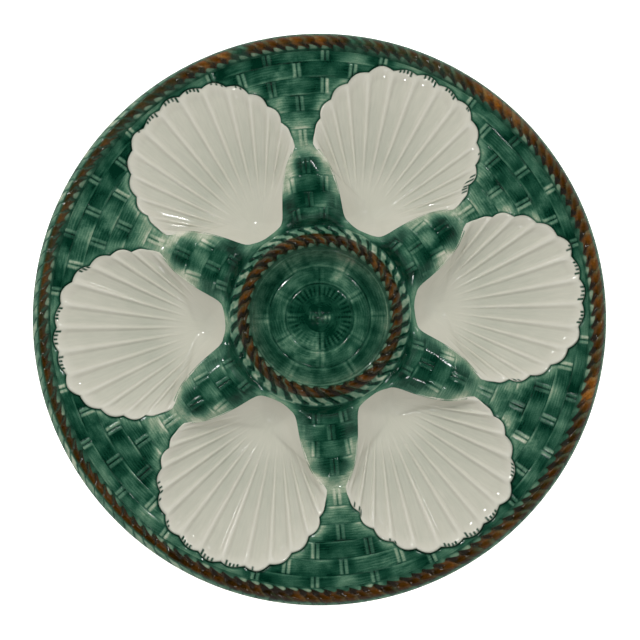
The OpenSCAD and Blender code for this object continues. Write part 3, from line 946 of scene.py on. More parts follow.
# %% [markdown]
# Both ropes were modelled by pressing strands side by side. Across a rope, each strand leans over with the
# lay, and its height is a round bead between two sharp grooves. A ring of grid faces is bent round the
# plate for each rope and its strands are lifted in it. The brown glaze sits on the backs of the strands and
# starts in pointed tongues above the green one. The grooves are almost black, from glaze that ran into them
# and from painted shade. Painted shade also darkens one side of each strand, and a painted highlight runs
# along some strands of the well's rope.

# %% Helpers for the ropes
WANDER = 0.2
BELOW_TOP = 0.02
TONGUE_TIP = 0.55
TONGUE_BACK = 0.3
BROWN_SOFT = 0.4


def strand_bead(phase):
    """Height of a strand from 0 in the groove to 1 on its back."""
    t = 2 * (phase - np.floor(phase)) - 1
    return np.sqrt(np.clip(1 - np.abs(t) ** 2.2, 0, 1))


def rope(name, strands, columns, rows, crowding, profile, groove, top_z, seed, own_seed):
    """Bends a grid round the plate along a profile and lifts the strands in it. The columns of a
    profile are radius, height, share of the groove's depth, and lean of the strands counted in
    strands. The crowding says how many strands the hand had run ahead at every 60 degrees of the
    picture. Gives the piece and for each point its angle, its radius and its height before the
    grooves, the strand's height, the way across the strand and a number of the strand's own."""
    piece, u, v = flat_grid(name, strands * columns, rows)
    key = np.linspace(0, 1, len(profile))
    r, z, share, lean = (np.interp(v, key, profile[:, i]) for i in range(4))
    from_seam = np.minimum(u, 1 - u)
    wander = WANDER * noise(u * strands / 2.5, 0.7 * r, seed) * smooth(from_seam * strands)
    ahead = np.interp(u * 360 + PLATE_TURN, np.arange(0, 481, 60), crowding + crowding[1:3])
    phase = u * strands - lean + wander + ahead
    bead = strand_bead(phase)
    x, y = at_turn(r, u * 360)
    move_points(piece, x, y, np.minimum(z - groove * share * (1 - bead), top_z - BELOW_TOP))
    number = np.floor(phase)
    return piece, u * 360, r, z, bead, phase - number, lattice(number % strands, 0 * number, own_seed)


def shade(turn, places, column):
    """Sum of a column of changes. Each place has its angle in the picture and its half width."""
    total = np.zeros_like(turn)
    for place in places:
        away = np.abs((turn + PLATE_TURN - place[0] + 180) % 360 - 180)
        total = total + place[column] * between(away, place[1] + 2, place[1] - 2)
    return total


def tongue(side):
    """The brown glaze's tongue on a strand: 0 in the grooves, 1 on the line of its tip."""
    return np.clip(np.minimum(side / TONGUE_TIP, (1 - side) / TONGUE_BACK), 0, 1)


def teeth(point, r, start_r, turn, width, seed):
    """Places under the tongues of some strands where the green glaze is thin, width in degrees."""
    some = smooth(0.6 + 1.2 * noise(turn / width, 0 * turn, seed))
    return between(point, 0.3, 0.6) * between(r, start_r, start_r + 0.3) * some


def round_profile(corners, steps=7):
    """A profile with soft bends through the corners given, by repeated averaging."""
    pts = np.array(corners, float)
    key = np.linspace(0, 1, len(pts))
    fine = np.linspace(0, 1, (len(pts) - 1) * steps + 1)
    out = np.stack([np.interp(fine, key, pts[:, i]) for i in range(pts.shape[1])], axis=1)
    for _ in range(steps):
        out[1:-1] = (out[:-2] + 2 * out[1:-1] + out[2:]) / 4
    return out


def close_rope(piece, glaze, brown, burnt):
    """Notes a rope's glazes and closes it to a ring: how thick the green glaze is, where the brown one
    covers it and how dark the brown is. Painted shade and painted highlight are part of these numbers."""
    note(piece, "glaze", glaze)
    note(piece, "brown", np.clip(brown, 0, 1))
    note(piece, "burnt", burnt)
    merge_doubles(piece)
    bridge_below(piece)


# %% Shape of the rope on the rim, which rolls over into the outer lip
RIM_STRANDS = 134
RIM_STRAND_COLUMNS = 14
RIM_ROWS = 50
RIM_CROWDING = [0, 0.7, 2.5, 2.6, 1.3, 1.4, 0]
RIM_GROOVE = 1.1
rim_profile = round_profile([
    [rim_in_r - 0.35, ground_out_z - 2.2, 0.0, 0.00],
    [rim_in_r - 0.3, ground_out_z - 0.4, 0.0, 0.0],
    [rim_in_r + 0.4, ground_out_z + 1.4, 0.25, 0.06],
    [rim_in_r + 1.5, rim_top_z - 1.0, 1.0, 0.22],
    [rim_in_r + 3.0, rim_top_z + 0.25, 0.9, 0.48],
    [rim_in_r + 4.6, rim_top_z + 0.2, 0.5, 0.76],
    [rim_in_r + 6.1, rim_top_z - 1.4, 0.5, 1.0],
    [plate_r - 0.55, ground_out_z + 1.2, 0.35, 1.2],
    [plate_r + 0.15, ground_out_z - 0.2, 0.1, 1.3],
    [plate_r - 0.5, ground_out_z - 1.9, 0.0, 1.35],
    [body_r - 0.2, seat_top_z - 1.2, 0.0, 1.35],
    [body_r - 1.6, seat_top_z - 2.0, 0.0, 1.35]])
rim_piece, turn, r, z, bead, side, own = rope(
    "rim_rope_glazed", RIM_STRANDS, RIM_STRAND_COLUMNS, RIM_ROWS, RIM_CROWDING, rim_profile,
    RIM_GROOVE, rim_top_z, 11, 5)

# %% Glaze of the rope on the rim
# Angle in the picture, half width, change of the brown glaze's burn and of its share.
RIM_SHADES = [(48, 8, -0.3, 0), (20, 12, -0.08, 0), (112.5, 4, -0.28, 0), (344.5, 4, -0.3, 0),
              (95, 8, -0.1, 0), (70, 11, 0, -0.25), (150, 30, 0, -0.2), (107, 1.5, 0.3, -0.8),
              (82.5, 1.5, 0.2, -0.7), (228, 13, 0, 0.12), (252, 13, 0.2, 0.2), (284, 18, 0.06, 0.2)]
# Between these angles of the picture the lip shows pale outside the brown, and the grooves and the strands'
# shaded sides are lighter there: partly painted light from the left.
PALE_AND_LIT_LIP_STARTS = (112, 137)
PALE_AND_LIT_LIP_ENDS = (256, 231)
RIM_BACK_R = rim_in_r + 4.6
RIM_BROWN_IN = rim_in_r + 0.3
RIM_BROWN_OUT = rim_in_r + 6.7
RIM_TONGUE = 1.5
UNDERSIDE_GLAZE = 0.12
below = z < ground_out_z - 1.5
image_turn = (turn + PLATE_TURN) % 360
pale = between(image_turn, *PALE_AND_LIT_LIP_STARTS) * between(image_turn, *PALE_AND_LIT_LIP_ENDS)
ends = between(r, RIM_BACK_R, RIM_BACK_R - 2.8)
point = tongue(side)
groove = 1 - smooth((bead - 0.15 - 0.3 * ends) / 0.5)
# Painted shade: the grooves and the side of each strand that faces away from the light, strongest at the
# inner ends.
shadow = np.maximum(groove, between(side, 0.5, 0.2) * ends * (1 - 0.6 * pale))
worn = between(side, 0.5, 0.75) * (1 - ends) * (1 - pale) + 0.9 * pale * groove
brown_in = RIM_BROWN_IN + RIM_TONGUE * point * mix(0.6, 1, own)
brown_out = RIM_BROWN_OUT - 1.9 * pale + 0.5 * (own - 0.5)
brown = between(r, brown_in, brown_in + BROWN_SOFT) * between(r, brown_out, brown_out - 1.3)
brown = brown * ~below
brown = brown * (0.97 - 0.32 * worn + 0.16 * noise(turn / 2, r / 2, 18) + shade(turn, RIM_SHADES, 3))
flank = 0.66 + 0.1 * noise(turn, r / 2, 19) + 0.15 * (1 - point)
flank = flank - 0.36 * teeth(point, r, RIM_BROWN_IN, turn, 5, 17)
flank = mix(flank, 0.8 - 0.2 * worn, between(r, brown_in + 0.2, brown_in + 0.6))
lip = 0.5 + 0.2 * noise(turn / 1.5, r, 3) - 0.2 * (own > 0.7) * between(bead, 0.7, 0.9) + 0.5 * groove
glaze = mix(flank, lip, between(r, brown_out - 0.4, brown_out + 0.4))
burnt = 0.58 + 0.5 * shadow * (0.35 + 0.65 * ends) - 0.14 * worn + 0.3 * (own - 0.5)
close_rope(rim_piece, np.where(below, UNDERSIDE_GLAZE, glaze), brown, burnt + shade(turn, RIM_SHADES, 2))
x, y, z = points(rim_piece)
grow = np.minimum(1, plate_r / np.maximum(np.hypot(x, y), 1))
move_points(rim_piece, x * grow, y * grow, z)
check_closed(rim_piece)

# %% Shape of the rope round the sauce well
WELL_STRANDS = 38
WELL_STRAND_COLUMNS = 36
WELL_ROWS = 54
WELL_CROWDING = [0, 0.8, 1.1, 0.85, 0.5, 0.05, 0]
WELL_GROOVE = 1.2
well_profile = round_profile([
    [well_r - 0.3, floor_z - 1.2, 0.0, 0.0],
    [well_r - 0.2, floor_z + 0.6, 0.0, 0.0],
    [well_r + 0.1, ground_in_z - 1.2, 0.0, 0.0],
    [well_r + 0.5, ground_in_z + 2.8, 0.7, 0.03],
    [well_r + 1.4, well_top_z - 0.6, 1.0, 0.12],
    [well_r + 2.8, well_top_z + 0.3, 1.0, 0.3],
    [well_r + 4.2, well_top_z - 0.5, 1.0, 0.5],
    [well_r + 5.8, ground_in_z + 3.0, 1.0, 0.75],
    [well_r + 7.4, ground_in_z + 1.3, 0.9, 1.0],
    [well_r + 8.9, ground_in_z + 0.3, 0.7, 1.25],
    [well_r + 9.9, ground_in_z - 0.1, 0.35, 1.4],
    [well_r + 10.8, ground_in_z - 0.5, 0.0, 1.45],
    [well_r + 11.2, ground_in_z - 1.6, 0.0, 1.45]])
well_piece, turn, r, z, bead, side, own = rope(
    "well_rope_glazed", WELL_STRANDS, WELL_STRAND_COLUMNS, WELL_ROWS, WELL_CROWDING, well_profile,
    WELL_GROOVE, well_top_z, 23, 8)

# %% Glaze of the rope round the sauce well
WELL_BROWN_IN = well_r - 0.1
WELL_BROWN_OUT = well_r + 5.6
WELL_TONGUE = 1.6
WELL_BACK_R = well_r + 3
WELL_TOE_R = well_r + 8.5
SHELL_SIDE_TURNS = (10, 7)
point = tongue(side)
groove = between(bead, 0.94, 0.78)
olive = between(side, 0.48, 0.23)
# Painted highlight: a pale line along one side of some strands, with thinner brown and paler green under
# it.
gleam = hump(side - 0.2, 0.07) * smooth(0.4 + 1.5 * noise(turn / 9, r / 3, 26))
brown_in = WELL_BROWN_IN + WELL_TONGUE * point * mix(0.6, 1, own)
brown_out = WELL_BROWN_OUT + 0.5 * bead
brown = between(r, brown_in, brown_in + BROWN_SOFT) * between(r, brown_out, brown_out - 0.9)
brown = brown * (r > WELL_BROWN_IN)
brown = brown * (0.97 - 0.25 * olive - 0.3 * gleam + 0.15 * noise(turn / 5, r / 2, 28))
inner = 0.6 + 0.2 * (1 - point) * (r > well_r) - 0.26 * teeth(point, r, well_r + 0.1, turn, 12, 27)
outer = 0.38 + 0.18 * noise(turn / 2.5, r / 1.2, 29) + 0.12 * noise(turn / 20, r / 3, 30)
# The grooves of the outer flank are dark, from glaze that ran into them and from painted shade.
outer = outer + 0.2 * (own - 0.5) + 0.55 * groove
under_brown = between(r, brown_in + 0.2, brown_in + 0.6) * between(r, well_r + 5.8, well_r + 5.0)
glaze = mix(np.where(r < WELL_BACK_R, inner, outer), 0.86 - 0.3 * gleam, under_brown)
beside_shell = between(np.abs((turn + TURN / 2) % TURN - TURN / 2), *SHELL_SIDE_TURNS)
glaze = mix(glaze, 0.85 - 0.5 * beside_shell, between(r, WELL_TOE_R, WELL_TOE_R + 0.9))
# The brown is darker in the grooves and on one side of each strand, which is painted shade.
burnt = 0.56 + 0.2 * groove + 0.35 * between(side, 0.5, 0.8) - 0.12 * olive + 0.3 * (own - 0.5)
close_rope(well_piece, glaze, brown, burnt)
check_closed(well_piece)

# %% [markdown]
# The floor of the sauce well is a woven disc. A small square patch lies in its middle, and
# rings of wefts lie round it, three of them with radial pairs that change place from ring to
# ring. It is a round grid whose height follows formulas, as on the ground outside.

# %% Floor of the sauce well
# Radii between the rings, then each ring's number of pairs and the angle of its first pair.
floor_rings = np.array([0.0, 6.5, 14.9, 22.3, 29.7, 32.0])
floor_pairs = np.array([1, 4, 6, 6, 1])
floor_starts = np.array([0, -5, 25, -4, 0])
PAIR_RINGS = (1, 3)
# The glaze is thinner towards the rope: radii and the thickness at each of them.
FLOOR_TONE_R = [0, 7, 9.5, 13, 16, 19, 22, 25, 28, 31]
FLOOR_TONE = [1.04, 1.0, 0.95, 0.89, 0.79, 0.72, 0.76, 0.76, 0.58, 0.44]
# Places of pale spots along the patch, in mm: painted glints, which stand in for highlights on the glaze.
PAINTED_GLINTS = (-4.4, -3.1, 2.6, 4.3)
FLOOR_GAP = 2.5
FLOOR_WEFT_H = 0.25
FLOOR_LINE_H = 0.04
FLOOR_PAIR_H = 0.45
TICK_H = 0.07
KNOT_H = 0.35
FLOOR_COLUMNS = 560
FLOOR_ROWS = 96
FLOOR_SUNK = 0.3
TICKS = 36
PATCH_LONG = 5.2
PATCH_WIDE = 4.2
PATCH_SOFT = 1.6
PATCH_STEP = 2.4


def floor_fields(x, y):
    """Height and glaze of the woven disc."""
    r = np.hypot(x, y)
    turn = np.degrees(np.arctan2(y, x))
    ring = np.clip(np.searchsorted(floor_rings, r, side="right") - 1, 0, len(floor_pairs) - 1)
    low, high = floor_rings[ring], floor_rings[ring + 1]
    t = (r - low) / (high - low)
    # The pairs, some of which are fainter than others.
    pairs = floor_pairs[ring]
    step = 360 / pairs
    from_first = turn - floor_starts[ring]
    across = np.abs(np.radians((from_first + step / 2) % step - step / 2)) * r
    pair = np.floor(from_first / step + 0.5) % pairs
    shown = (ring >= PAIR_RINGS[0]) & (ring <= PAIR_RINGS[1])
    shown = shown * mix(0.35, 1, lattice(pair, ring, 6)) * between(t, 0, 0.08) * between(t, 1, 0.92)
    bar = smooth(1.4 - np.abs(across - FLOOR_GAP / 2) / 0.8) * shown
    middle = hump(across, 0.4) * shown
    # The wefts, with fine lines along them and ticks across the first ring.
    edge = smooth(np.minimum(np.where(ring == 1, 9, r - low), np.where(ring == 0, 9, high - r)) / 0.9)
    lines = np.cos(2 * np.pi * (r / LINE_STEP + 0.3 * noise(turn / 14, r / 5, 31)))
    lines = lines * edge * smooth(0.3 + 1.2 * noise(turn / 25, r / 6, 45))
    ticks = np.cos(np.radians(turn) * TICKS) * between(r, 9, 10.5) * between(r, 14.5, 13.5) * (1 - bar)
    ticks = ticks * smooth(0.6 + noise(turn / 40, r / 9, 44))
    # The patch, which lies level in the picture.
    u, v = turned(x, y, PLATE_TURN)
    patch = smooth((PATCH_LONG - np.abs(u)) / PATCH_SOFT) * smooth((PATCH_WIDE - np.abs(v)) / PATCH_SOFT)
    knots = np.abs(np.cos(np.pi * u / PATCH_STEP)) * np.abs(np.sin(np.pi * v / PATCH_STEP))
    wefts = edge * FLOOR_WEFT_H + FLOOR_LINE_H * lines + TICK_H * ticks
    height = np.maximum(wefts, bar * FLOOR_PAIR_H) - MIDDLE_DEEP * middle
    height = mix(height, KNOT_H * np.sqrt(knots), patch)
    tone = noise(turn / 30 + 2 * ring, ring * 1.7, 77) + 0.8 * noise(x / 4, y / 4, 78)
    tone = tone + 0.4 * noise(x / 1.5, y / 1.5, 79)
    glaze = np.interp(r, FLOOR_TONE_R, FLOOR_TONE) + 0.15 * tone - 0.04 * lines - 0.15 * bar + 0.12 * middle
    glaze = glaze + (0.1 * hump(r - low, 0.5) - 0.14 * hump(r - low - 0.9, 0.5)) * (ring > 1)
    glaze = glaze - 0.12 * ticks * (ring == 1) - 0.12 * patch * knots
    # Painted glints: pale spots along the patch.
    for place in PAINTED_GLINTS:
        glaze = glaze - 0.5 * hump(u - place, 0.5) * hump(v, 0.8)
    return floor_z - FLOOR_SUNK + height, glaze


well_floor, u, v = flat_grid("well_floor", FLOOR_COLUMNS, FLOOR_ROWS)
x, y = at_turn((1 - v) * (well_r + 0.2), u * 360)
z, glaze = floor_fields(x, y)
move_points(well_floor, x, y, z)
note(well_floor, "glaze", glaze)
merge_doubles(well_floor)
rim_down(well_floor, lambda r: np.full_like(r, level_z))
fill_below(well_floor)
check_closed(well_floor)

# %% [markdown]
# The back was turned on the wheel: a shallow cone with a foot ring, clear glazed over the
# cream clay. Both are drawn as a profile and swept round the axis by extruding and scaling a
# circle ring by ring, as a potter's rib follows the turning plate.

# %% Turned pieces
TURNED_STEPS = 256
RING_MERGE = 0.005


def turned_piece(name, profile, closed):
    """A round piece from a profile of radii and heights. A closed profile makes a ring, an open
    one is closed at both of its small ends."""
    bpy.ops.object.select_all(action="DESELECT")
    bpy.ops.mesh.primitive_circle_add(vertices=TURNED_STEPS, radius=profile[0][0] * MM,
                                      fill_type="NOTHING" if closed else "NGON",
                                      location=(0, 0, profile[0][1] * MM))
    piece = bpy.context.object
    piece.name = piece.data.name = name
    bpy.ops.object.transform_apply(location=True)
    bpy.ops.object.mode_set(mode="EDIT")
    bpy.ops.mesh.select_mode(type="EDGE")
    bpy.ops.mesh.select_all(action="SELECT")
    steps = list(profile[1:]) + ([profile[0]] if closed else [])
    before = profile[0]
    for r, z in steps:
        if before is profile[0] and not closed:
            bpy.ops.mesh.select_all(action="SELECT")
            bpy.ops.mesh.region_to_loop()
        bpy.ops.mesh.extrude_edges_move(TRANSFORM_OT_translate={"value": (0, 0, (z - before[1]) * MM)})
        k = r / before[0]
        bpy.ops.transform.resize(value=(k, k, 1), center_override=(0, 0, z * MM))
        before = (r, z)
    if not closed:
        bpy.ops.mesh.edge_face_add()
    bpy.ops.mesh.select_all(action="SELECT")
    bpy.ops.mesh.remove_doubles(threshold=RING_MERGE * MM)
    face_outwards()
    return piece


FOOT_IN_R = 59.5
BACK_WALL = 3
foot_out_r = span("foot_ring")[1][0]
knee_r = foot_out_r + BACK_WALL / 2
back_profile = round_profile([
    [1.0, foot_h], [30, foot_h], [FOOT_IN_R - 3, foot_h], [foot_out_r + 1, foot_h],
    [knee_r + 3, seat_z(knee_r + 3) - BACK_WALL], [90, seat_z(90) - BACK_WALL],
    [body_r - 5, seat_z(body_r - 5) - BACK_WALL], [body_r - 1.2, seat_z(body_r) - BACK_WALL + 0.4],
    [body_r - 0.3, seat_z(body_r) - BACK_WALL / 2], [body_r - 0.5, seat_top_z - 0.4],
    [body_r - 2, seat_z(body_r - 2) - 0.1], [LEVEL_R, level_z - 0.05], [1.0, level_z - 0.05]], 6)
plate_back = turned_piece("plate_back", [tuple(p) for p in back_profile], closed=False)
check_closed(plate_back)
foot_profile = round_profile([
    [FOOT_IN_R - 1.2, foot_h + 0.4], [FOOT_IN_R + 0.2, foot_h - 0.4], [FOOT_IN_R + 0.9, 0.5],
    [FOOT_IN_R + 1.7, 0.0], [foot_out_r - 1.7, 0.0], [foot_out_r - 0.9, 0.5],
    [foot_out_r - 0.2, foot_h - 0.4], [foot_out_r + 0.6, foot_h + 0.2], [foot_out_r - 1, foot_h + 0.5],
    [FOOT_IN_R + 1, foot_h + 0.5]], 5)
foot_piece = turned_piece("foot_ring_glazed", [tuple(p) for p in foot_profile], closed=True)
check_closed(foot_piece)

# %% [markdown]
# Glazes. The clay under all of them is cream earthenware. The green glaze is a translucent
# lead glaze coloured with copper: where it pooled it is nearly black-green, and where it ran
# thin, on crests and brushed-out patches, the cream shows through. So its colour here is one
# ramp over the thickness of the glaze, and every mark on the weave only changes that thickness.
# Painted highlights and shadows, on the wefts' edges and on the floor of the sauce well, are given as such
# changes of thickness too.

# %% Helpers for the glazes
GLAZE_IOR = 1.5
WAVE_DEEP = 0.3
GRAIN_ROUGHNESS = 0.55


def grain(material, size_mm, detail, lay_stretch=None):
    """Noise whose grains are about size_mm wide. It lies on the piece's own place, or along the
    brush where a stretch is given, which is below 1 in the direction where grains are longer."""
    if lay_stretch:
        place = add(material, "ShaderNodeAttribute", {"attribute_name": "lay"}, "Vector")
        scale = lay_stretch
    else:
        place = add(material, "ShaderNodeTexCoord", {}, "Object")
        scale = (1 / MM, 1 / MM, 1 / MM)
    place = add(material, "ShaderNodeMapping", {"Scale": scale, "Vector": place})
    return add(material, "ShaderNodeTexNoise", {
        "Scale": 1 / size_mm, "Detail": detail, "Roughness": GRAIN_ROUGHNESS, "Vector": place}, "Fac")


def varied(material, thickness, grains):
    """Adds grains to a thickness. Each has its size in mm, its detail, its stretch along the
    brush or None, and how much it changes the thickness from the lowest grain to the highest."""
    for size_mm, detail, lay_stretch, amount in grains:
        value = grain(material, size_mm, detail, lay_stretch)
        off = add(material, "ShaderNodeMath", {"operation": "SUBTRACT", 0: value, 1: 0.5})
        change = add(material, "ShaderNodeMath", {"operation": "MULTIPLY", 0: off, 1: amount})
        thickness = add(material, "ShaderNodeMath", {"operation": "ADD", 0: thickness, 1: change})
    return thickness


def glassy(material, colour, roughness, waves, strength):
    """Finishes a glaze: glossy like glass, with faint waves in its surface."""
    uneven = add(material, "ShaderNodeBump", {
        "Strength": strength, "Distance": WAVE_DEEP * MM, "Height": waves})
    shader = add(material, "ShaderNodeBsdfPrincipled", {
        "Base Color": colour, "Roughness": roughness, "IOR": GLAZE_IOR, "Normal": uneven})
    add(material, "ShaderNodeOutputMaterial", {"Surface": shader})
    print(material.name, "made of", len(material.node_tree.nodes), "nodes")


# %% Green glaze on the weave, with the brush's clouds, its streaks and fine specks
GREEN_GRAINS = [(9, 3, None, 0.40), (0.8, 3, (0.2, 1, 1), 0.34), (0.5, 2, None, 0.26)]
GREEN_STOPS = [(0.0, "#d3d1bf"), (0.14, "#b0baa2"), (0.30, "#81987f"), (0.46, "#597f67"),
               (0.64, "#355f4b"), (0.82, "#174332"), (1.0, "#032b1d")]
green_glaze = new_material("green_lead_glaze")
green_relief = add(green_glaze, "ShaderNodeAttribute", {"attribute_name": "glaze"}, "Fac")
green_thickness = varied(green_glaze, green_relief, GREEN_GRAINS)
green_colour = add(green_glaze, "ShaderNodeValToRGB", {"Fac": green_thickness, "stops": GREEN_STOPS})
glassy(green_glaze, green_colour, roughness=0.12, waves=grain(green_glaze, 2.5, 2), strength=0.08)

# %% [markdown]
# The shells were left without colour. Their glaze is clear, so the eye sees cream clay, a little greyer in
# the flutes and in the well, where the glaze lies thicker and where shade is painted. It ran down the
# flutes, which the long grains show. Into the strokes beside the rim ran some of the green from the ground.

# %% Clear glaze over cream clay, on the shells
CREAM_GRAINS = [(14, 2, None, 0.3), (0.9, 3, (1, 0.12, 1), 0.5)]
CREAM_STOPS = [(0.0, "#d3d1c3"), (0.35, "#cccabb"), (0.7, "#bfbfb0"), (1.0, "#b3b5a6")]
STROKE_GREEN = "#12402e"
cream_glaze = new_material("clear_lead_glaze_on_cream_clay")
pooled_and_shaded = add(cream_glaze, "ShaderNodeAttribute", {"attribute_name": "deep"}, "Fac")
cream_thickness_and_shade = varied(cream_glaze, pooled_and_shaded, CREAM_GRAINS)
cream_clear = add(cream_glaze, "ShaderNodeValToRGB", {"Fac": cream_thickness_and_shade, "stops": CREAM_STOPS})
stroke = add(cream_glaze, "ShaderNodeAttribute", {"attribute_name": "stroke"}, "Fac")
cream_colour = add(cream_glaze, "ShaderNodeMix", {
    "data_type": "RGBA", 0: stroke, 6: cream_clear, 7: STROKE_GREEN}, 2)
glassy(cream_glaze, cream_colour, roughness=0.1, waves=grain(cream_glaze, 3, 2), strength=0.1)

# %% [markdown]
# The ropes were painted green with the ground and then brown over the strands' backs. The brown is amber
# where it is thin and nearly black where it burned and where it lay thick, and its darkness also carries
# painted shade in the grooves and on one side of each strand. So each of the two glazes is a ramp over its
# own thickness, and the brown one lies over the green by a share.

# %% Brown glaze on the ropes, over the green one
BROWN_GRAINS = [(0.9, 3, None, 0.6), (22, 2, None, 0.4)]
ROPE_GREEN_GRAINS = [(0.9, 3, None, 0.3)]
BROWN_STOPS = [(0.0, "#a0641e"), (0.25, "#6c4010"), (0.5, "#4a2c08"), (0.75, "#2e1c03"), (1.0, "#150d01")]
rope_glaze = new_material("brown_lead_glaze_on_rope")
brown_burn_and_shade = add(rope_glaze, "ShaderNodeAttribute", {"attribute_name": "burnt"}, "Fac")
brown_thickness_and_shade = varied(rope_glaze, brown_burn_and_shade, BROWN_GRAINS)
brown_colour = add(rope_glaze, "ShaderNodeValToRGB", {"Fac": brown_thickness_and_shade, "stops": BROWN_STOPS})
rope_relief = add(rope_glaze, "ShaderNodeAttribute", {"attribute_name": "glaze"}, "Fac")
rope_thickness = varied(rope_glaze, rope_relief, ROPE_GREEN_GRAINS)
rope_green = add(rope_glaze, "ShaderNodeValToRGB", {"Fac": rope_thickness, "stops": GREEN_STOPS})
brown_share = add(rope_glaze, "ShaderNodeAttribute", {"attribute_name": "brown"}, "Fac")
rope_colour = add(rope_glaze, "ShaderNodeMix", {
    "data_type": "RGBA", 0: brown_share, 6: rope_green, 7: brown_colour}, 2)
glassy(rope_glaze, rope_colour, roughness=0.12, waves=grain(rope_glaze, 1.5, 2), strength=0.12)

# %% [markdown]
# The back has the same clear glaze over the clay, in which the lines of turning show faintly.
# The edge that the plate stands on was wiped, so that it wouldn't stick in the kiln. There the
# clay is bare: darker, and matt instead of glossy.

# %% Clear glaze on the turned back
BACK_STOPS = [(0.3, "#dcd7c4"), (0.55, "#d3ceb9"), (0.8, "#c6c3aa")]
BARE_CLAY = "#c9b48e"
TURNING_GRAIN = (1.4, 3, (0.01, 1, 1))
TURNING_CHANGE = 0.35
BACK_ROUGHNESS = 0.14
BARE_ROUGHER = 0.6
back_glaze = new_material("clear_lead_glaze_on_turned_back")
turning = grain(back_glaze, *TURNING_GRAIN)
back_thickness = varied(back_glaze, grain(back_glaze, 18, 4), [(*TURNING_GRAIN, TURNING_CHANGE)])
back_clear = add(back_glaze, "ShaderNodeValToRGB", {"Fac": back_thickness, "stops": BACK_STOPS})
bare = add(back_glaze, "ShaderNodeAttribute", {"attribute_name": "bare"}, "Fac")
back_colour = add(back_glaze, "ShaderNodeMix", {
    "data_type": "RGBA", 0: bare, 6: back_clear, 7: BARE_CLAY}, 2)
rougher = add(back_glaze, "ShaderNodeMath", {"operation": "MULTIPLY", 0: bare, 1: BARE_ROUGHER})
back_roughness = add(back_glaze, "ShaderNodeMath", {"operation": "ADD", 0: rougher, 1: BACK_ROUGHNESS})
glassy(back_glaze, back_colour, back_roughness, waves=turning, strength=0.15)

# %% [markdown]
# Now the fields are set out: six shells at every 60 degrees and a petal and a panel between
# each two. Every copy has its own mesh, so that its brush marks can differ from its neighbour's.

# %% Helpers for setting out and dressing the fields
FIELD_SMOOTH = 50
ROPE_SMOOTH = 80


def copy_turned(model, name, angle):
    """A copy with its own mesh, turned about the plate's middle."""
    mesh = model.data.copy()
    mesh.name = name
    mesh.transform(Matrix.Rotation(np.radians(angle), 4, "Z"))
    piece = bpy.data.objects.new(name, mesh)
    bpy.context.scene.collection.objects.link(piece)
    return piece


def dress(piece, material, node, angle=FIELD_SMOOTH):
    """Gives a finished piece its glaze and its body, and hides the node of the imported model that it
    stands for.
    """
    piece.data.materials.append(material)
    only(piece)
    bpy.ops.object.shade_smooth_by_angle(angle=np.radians(angle))
    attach(piece, "root")
    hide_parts(node)


def note_lay(piece):
    """Notes the place along and across the brush: round the plate and out from its middle."""
    x, y, _ = points(piece)
    r = np.hypot(x, y)
    note_place(piece, "lay", np.radians(np.degrees(np.arctan2(y, x)) % 360) * r, r, 0 * r)


def read_note(piece, name):
    """The numbers that were noted under a name."""
    values = np.zeros(len(piece.data.vertices), np.float32)
    piece.data.attributes[name].data.foreach_get("value", values)
    return values


# %% Pale places, where the brush left little glaze
# Each is given by its place right and down in the photograph's pixels from
# its corner, radius in mm, and how much of the glaze is gone.
PALE_PLACES = [
    (297, 67, 4, 0.35), (287, 74, 5, 0.35), (277, 100, 5, 0.3), (298, 128, 5, 0.3), (272, 132, 4, 0.35),
    (288, 172, 4, 0.4), (327, 165, 4, 0.35), (130, 118, 6, 0.3), (87, 237, 5, 0.4), (110, 228, 5, 0.4),
    (157, 236, 6, 0.42), (172, 243, 4, 0.4), (140, 222, 5, 0.3), (67, 263, 5, 0.35), (92, 208, 5, 0.2),
    (472, 153, 5, 0.35), (498, 197, 6, 0.5), (487, 172, 5, 0.4), (460, 213, 5, 0.5), (541, 217, 5, 0.4),
    (512, 208, 5, 0.35), (550, 187, 5, 0.3), (480, 120, 5, 0.25), (430, 240, 4, 0.3), (97, 420, 5, 0.35),
    (157, 427, 6, 0.35), (177, 413, 5, 0.35), (163, 450, 5, 0.35), (90, 433, 4, 0.2), (120, 487, 5, 0.2),
    (147, 510, 5, 0.35), (67, 393, 5, 0.25), (507, 420, 5, 0.5), (523, 443, 5, 0.35), (550, 370, 6, 0.3),
    (513, 397, 5, 0.45), (337, 497, 5, 0.15), (393, 557, 6, 0.35), (330, 520, 4, 0.15), (286, 560, 5, 0.2),
    (337, 276, 3, 0.3), (289, 346, 5, 0.3), (316, 352, 5, 0.35), (333, 345, 4, 0.25), (300, 362, 5, 0.2)]
PIXELS_PER_MM = 2.288
MIDDLE_RIGHT_PX = 319.5
MIDDLE_DOWN_PX = 318.4


def pale_places(x, y):
    """Share of the glaze that is gone at each point, from the list above."""
    gone = np.zeros_like(x)
    ragged = 0.35 * noise(x / 2.2, y / 2.2, 61) + 0.25 * noise(x / 0.9, y / 0.9, 62)
    for right_px, down_px, radius, amount in PALE_PLACES:
        right, up = (right_px - MIDDLE_RIGHT_PX) / PIXELS_PER_MM, (MIDDLE_DOWN_PX - down_px) / PIXELS_PER_MM
        ox, oy = turned(right, up, -PLATE_TURN)
        away = np.hypot(x - ox, y - oy) / radius
        gone = np.maximum(gone, amount * smooth(1.25 - away + ragged))
    return gone


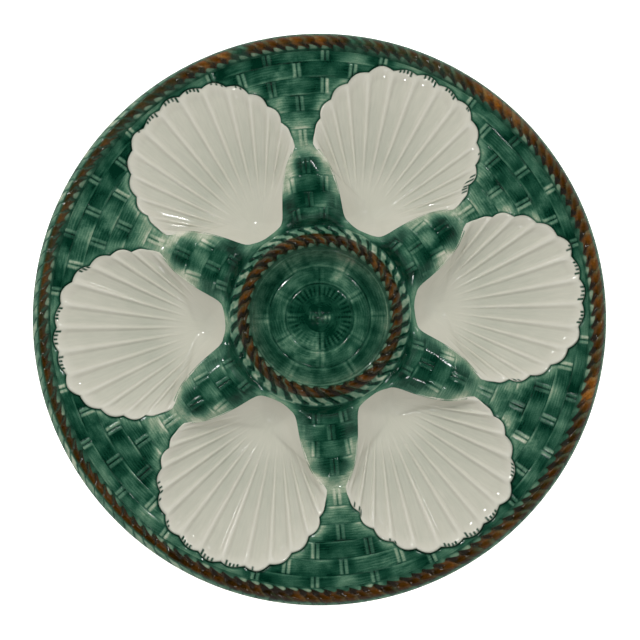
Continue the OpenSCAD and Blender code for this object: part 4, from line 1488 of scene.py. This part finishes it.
# %% Set out the shells
SURFACE_NEAR = 1.5
STROKE_DARK = 1.7
OWN_STROKE_SHARE = 0.8
TINGE = 0.35
LAY_PER_FLUTE = 7
LAY_PER_SHELL = 9
for k in range(SHELLS):
    piece = copy_turned(shell, f"shell_well_{k + 1}", k * TURN)
    x, y, z = points(piece)
    lx, ly = turned(x, y, -k * TURN)
    height, index, channel, way_in = shell_fields(lx, ly)
    share = np.clip((height - pool_z) / (ground_out_z - pool_z), 0, 1)
    own = stroke_marks(lx, ly, way_in, OWN_STROKES[k + 1])
    move_points(piece, x, y, z - STROKE_DEEP * own * (z > height - SURFACE_NEAR))
    tinge = TINGE * hump(way_in, 0.8) * between(lx, 84, 92)
    marks = np.maximum(stroke_marks(lx, ly, way_in, STROKES), OWN_STROKE_SHARE * own)
    # Greyer low in the well and down in the flutes, where the glaze lies thicker and where shade is painted
    # in the recesses.
    deep = 0.62 * (1 - share) + 0.42 * channel * between(way_in, 0, LOBE_LONG)
    note(piece, "deep", np.clip(deep, 0, 1))
    note(piece, "stroke", np.clip(marks * STROKE_DARK + tinge, 0, 1))
    lay_z = np.full(len(lx), float(LAY_PER_SHELL * k))
    note_place(piece, "lay", index * LAY_PER_FLUTE, np.hypot(lx - apex_x, ly), lay_z)
    dress(piece, cream_glaze, f"shell_{k + 1}")
print(SHELLS, "shells set out")

# %% Set out the petals and the panels between the shells
for k in range(SHELLS):
    turn = (k + 0.5) * TURN
    for model, label, node in ((petal, "petal_field", "petal"), (panel, "weave_field", "weave_panel")):
        piece = copy_turned(model, f"{label}_{k + 1}", turn)
        x, y, _ = points(piece)
        note_lay(piece)
        cloud = 0.16 * noise(x / 7, y / 7, 91) + 0.10 * noise(x / 3, y / 3, 92)
        note(piece, "glaze", read_note(piece, "glaze") + cloud - 0.5 * pale_places(x, y))
        dress(piece, green_glaze, f"{node}_{k + 1}")
for model in (shell, petal, panel):
    bpy.data.objects.remove(model)
print(SHELLS, "petals and", SHELLS, "panels set out")

# %% Dress the round pieces
BARE_BELOW = (0.7, 0.2)
for piece in (well_floor, rim_piece, well_piece, plate_back, foot_piece):
    note_lay(piece)
note(foot_piece, "bare", between(points(foot_piece)[2], *BARE_BELOW))
x, y, _ = points(well_floor)
note(well_floor, "glaze", read_note(well_floor, "glaze") - 0.7 * pale_places(x, y))
dress(well_floor, green_glaze, "centre_well")
dress(rim_piece, rope_glaze, "rim_rope", ROPE_SMOOTH)
dress(well_piece, rope_glaze, "well_rope", ROPE_SMOOTH)
dress(plate_back, back_glaze, "plate_body")
dress(foot_piece, back_glaze, "foot_ring")
